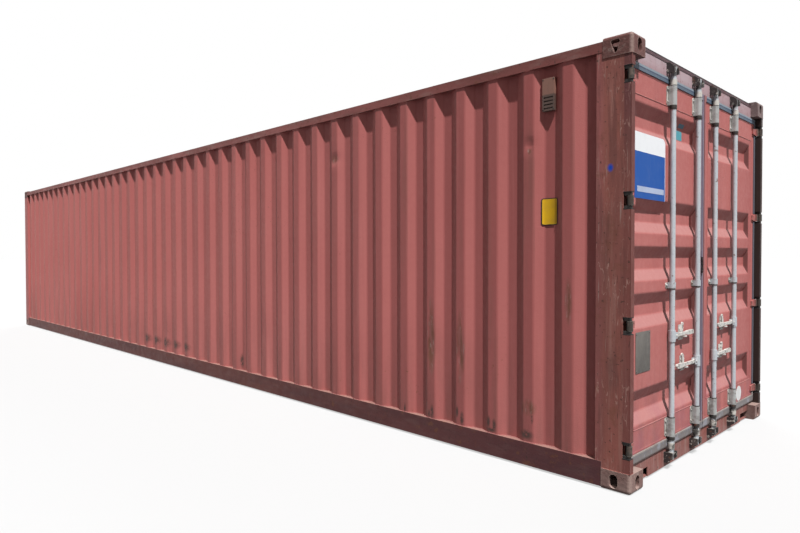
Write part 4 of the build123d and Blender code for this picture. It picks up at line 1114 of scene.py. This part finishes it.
def pin_heads(side, place, material):
    """Riveted ends of the pin that a handle turns on."""
    rod_y, way, z = GEAR[place]
    shape = Shape()
    for out in (-1, 1):
        at = (ROD_X + out * YOKE_HALF_X, SIDES[side] * (rod_y + way * PIN_AT), z)
        shape.bolt(at, *PIN_HEAD, (out, 0, 0))
    body = f"{side}_{place}_lock_rod"
    shape.put(f"{side}_{place}_pin_heads", material, body, "gear_paint")


def hinge_shade_caps(material):
    """Plates that close the gaps above and below the hinge lugs in the posts; in black, they are painted
    shade for those gaps.
    """
    shape = Shape()
    for way in SIDES.values():
        y_low, y_high = sorted(way * y for y in POST_Y)
        for z in HINGE_HEIGHTS:
            for one, two in ((LUG_TOP, NOTCH_TOP), (-NOTCH_TOP, -LUG_TOP)):
                shape.plate((NOTCH_BACK, y_low, z + one), (NOTCH_FRONT, y_high, z + two), bevel=0.0005)
    shape.put("hinge_shade_caps", material, "container", "hinge_steel")


def post_welds(material):
    """Weld beads where the posts meet their castings."""
    shape = Shape()
    feet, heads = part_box("corner_castings_bottom"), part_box("corner_castings_top")
    heights = (feet[1].z + WELD_INSET, heads[0].z - WELD_INSET)
    for back, front in POST_FACES.values():
        for way in SIDES.values():
            for z in heights:
                points = [(x, way * POST_Y[1], z) for x in np.linspace(back, front, 18)]
                points += [(front, way * y, z) for y in np.linspace(POST_Y[1] - WELD_START, POST_Y[0], 5)]
                shape.tube(points, POST_WELD)
    shape.put("post_welds", material, "container", "post_paint")


def wall_welds(side, material):
    """Weld beads that follow a corrugated wall along its rails."""
    low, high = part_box(f"{side}_side_wall")
    corners, face = side_corners(side, WELD_END)
    shape = Shape()
    for z in (low.z + WELD_INSET, high.z - WELD_INSET):
        shape.tube([(corner.x, SIDES[side] * (face + corner.y), z) for corner in corners], WALL_WELD)
    shape.put(f"{side}_wall_welds", material, "container", "wall_paint")


def small_screws(material):
    """Screws through the floor boards and the ventilators."""
    shape = Shape()
    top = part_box("floor_boards")[1].z
    for row in range(SCREW_ROWS):
        for y in SCREW_PLACES:
            for way in SIDES.values():
                at = (SCREW_LAST_X - SCREW_PITCH * row, way * y, top)
                shape.lathe(FLOOR_SCREW, at, sides=8)
    shape.put("floor_screws", material, "container", "hinge_steel")
    shape = Shape()
    for x, way in ((LAST_CREST_X - SIDE_PITCH / 2, -1), (LAST_CREST_X - SIDE_PITCH * (SIDE_CRESTS - 1.5), 1)):
        for offset in (-VENT_HALF, VENT_HALF):
            for z in VENT_SCREW_Z:
                shape.bolt((x + offset, way * VENT_FACE, z), *VENT_SCREW, (0, way, 0))
    shape.put("vent_screws", material, "container", "vent_plastic")


def dress(names, material):
    """Gives solids of the frame their finish."""
    for name in names:
        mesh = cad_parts[name].data
        mesh.materials.clear()
        mesh.materials.append(material)


def camera():
    data = bpy.data.cameras.new("camera")
    data.lens = CAMERA_LENS
    data.sensor_width = CAMERA_SENSOR
    data.clip_end = 500.0
    obj = bpy.data.objects.new("camera", data)
    bpy.context.scene.collection.objects.link(obj)
    right, up = CAMERA_RIGHT, -CAMERA_DOWN
    back = right.cross(up)
    axes = Matrix((right, up, back)).transposed()
    obj.matrix_world = Matrix.Translation(CAMERA_AT) @ axes.to_4x4()
    bpy.context.scene.camera = obj


def sun(name, source, strength, spread):
    data = bpy.data.lights.new(name, "SUN")
    data.energy = strength
    data.angle = math.radians(spread)
    obj = bpy.data.objects.new(name, data)
    obj.rotation_euler = source.to_track_quat("Z", "Y").to_euler()
    bpy.context.scene.collection.objects.link(obj)


def studio():
    """Sun-like key, wide fill, pale surroundings and a pale floor."""
    scene = bpy.context.scene
    scene.view_settings.view_transform = "Standard"
    sun("key", SUN_FROM, SUN_STRENGTH, SUN_SPREAD)
    sun("fill", FILL_FROM, FILL_STRENGTH, FILL_SPREAD)
    world = bpy.data.worlds.new("studio")
    world.use_nodes = True
    scene.world = world
    sky = Graph(world.node_tree)
    background = sky.nodes["Background"].inputs
    sky.feed(background["Strength"], sky.scaled(sky.seen_directly(), SKY, BACKDROP))
    sky.feed(background["Color"], (1, 1, 1))

    half = FLOOR_SIZE / 2
    corners = [(-half, -half, 0), (half, -half, 0), (half, half, 0), (-half, half, 0)]
    mesh = bpy.data.meshes.new("floor")
    mesh.from_pydata(corners, [], [(0, 1, 2, 3)])
    floor = bpy.data.objects.new("floor", mesh)
    scene.collection.objects.link(floor)
    material = bpy.data.materials.new("floor")
    material.use_nodes = True
    ground = Graph(material.node_tree)
    ground.nodes.clear()
    seen = ground.seen_directly()
    diffuse = ground.node("ShaderNodeBsdfDiffuse", ground.scaled(seen, FLOOR_GREY, FLOOR_PALE))
    emission = ground.node("ShaderNodeEmission", None, ground.math("MULTIPLY", seen, FLOOR_GLOW))
    ground.surface(ground.node("ShaderNodeAddShader", diffuse, emission))
    mesh.materials.append(material)
    floor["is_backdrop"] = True


# Finishes
red = wall_paint("wall_paint_worn", spots=True)
door_red = wall_paint("door_paint_worn", low=0.17, walls=False)
sheet_red = wall_paint("door_sheet_paint_worn", low=0.17, walls=False, doors=True)
front_red = wall_paint("front_paint_worn", walls=False)
brown = post_paint("post_paint_worn", BROWN, BROWN_DARK, BROWN_PALE)
top_rail = rail_paint("top_rail_paint_worn", TOP_RAIL, TOP_RAIL_FAR, BROWN_DARK, 0.24)
low_rail = rail_paint("bottom_rail_paint_worn", LOW_RAIL, LOW_RAIL_FAR, LOW_RAIL_DARK, 0.06)
sill_brown = post_paint("sill_paint_worn", SILL, BROWN, DUST, 0.6)
cast = cast_paint()
header = header_paint()
zinc = galvanised("rod_zinc", rod=True)
gear_zinc = galvanised("gear_zinc", GEAR_PALE, CREAM, chips=True)
bracket_zinc = galvanised("bracket_zinc", CREAM, GALVANISED_PALE, bracket=True)
steel = dark_steel()
keeper = keeper_steel()
blade = blade_paint()
seal = rubber()
under = under_paint()

# Solids of the frame that stay in view
dress(["corner_castings_bottom", "corner_castings_top"], cast)
dress(["rear_corner_posts"], brown)
dress(["front_corner_posts"], front_red)
dress(["top_side_rails", "front_header"], top_rail)
dress(["bottom_side_rails", "front_sill"], low_rail)
dress(["door_header"], header)
dress(["door_sill"], sill_brown)
dress(["floor_cross_members", "left_tunnel_outriggers", "right_tunnel_outriggers"], under)
dress(["gooseneck_tunnel", "tunnel_bows", "floor_centre_rail"], under)
dress(["floor_boards"], plywood())
dress(["ventilators"], vent_plastic())
dress(["hinge_lugs"], steel)
dress(["top_cam_keepers", "bottom_cam_keepers"], keeper)
for side in SIDES:
    dress([f"{side}_door_frame"], door_red)
    dress([f"{side}_hinge_blades"], blade)
    dress([f"{side}_door_gasket"], seal)
    dress([f"{side}_rod_brackets"], bracket_zinc)
    dress([f"{side}_handle_catches", f"{side}_inner_handle", f"{side}_outer_handle"], gear_zinc)
    dress([f"{side}_inner_lock_rod", f"{side}_outer_lock_rod"], zinc)

# Sheets that replace their solids, and what is fixed to them
side_wall("left", DENTS, LEFT_SEED, red)
side_wall("right", DENTS[4:], RIGHT_SEED, wall_paint("right_wall_paint_worn"))
front_wall(front_red)
# The roof gets the darker coat as painted shade.
roof(wall_paint("roof_paint_worn", low=-1.0, walls=False, coat=ROOF_SHADED_COAT))
for side in SIDES:
    door_panel(side, sheet_red)
    bracket_bolts(side, bracket_zinc)
    bracket_bushes(side, steel)
    catch_bolts(side, gear_zinc)
    gasket_strips(side, door_red)
    wall_welds(side, red)
    for place in GEAR:
        pin_heads(side, place, gear_zinc)
weld_lines(door_red)
post_welds(brown)
seam_flap(seal)
small_screws(steel)
black = plain_coat("black_enamel", *BLACK)
# Black plates as painted shade in the gaps beside the hinge lugs.
hinge_shade_caps(black)
sign_board(board_enamel(), plain_coat("band_enamel", *BAND))
bare_plate(plain_coat("bare_plate_grey", *BARE_PLATE, 0.5))
mark_plate("mark_plate_border", 0.0, MARK_BACK, black)
mark_plate("mark_plate_face", MARK_INSET, MARK_FACE_BACK, plain_coat("yellow_enamel", *YELLOW))
round_sticker(plain_coat("white_enamel", *WHITE_ENAMEL))
trough_sticker("teal_sticker", TEAL_Z, 0.0, plain_coat("teal_print", *TEAL))
trough_sticker("paper_sticker", PAPER_Z, TROUGH_DEPTH / TROUGH_RUN, plain_coat("blue_print", *BLUE_PRINT))
torn_seal(black)

camera()
studio()

boxes = {"cad": cad_box, "visual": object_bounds()}
{name: [[float(v) for v in corner] for corner in box] for name, box in boxes.items()}
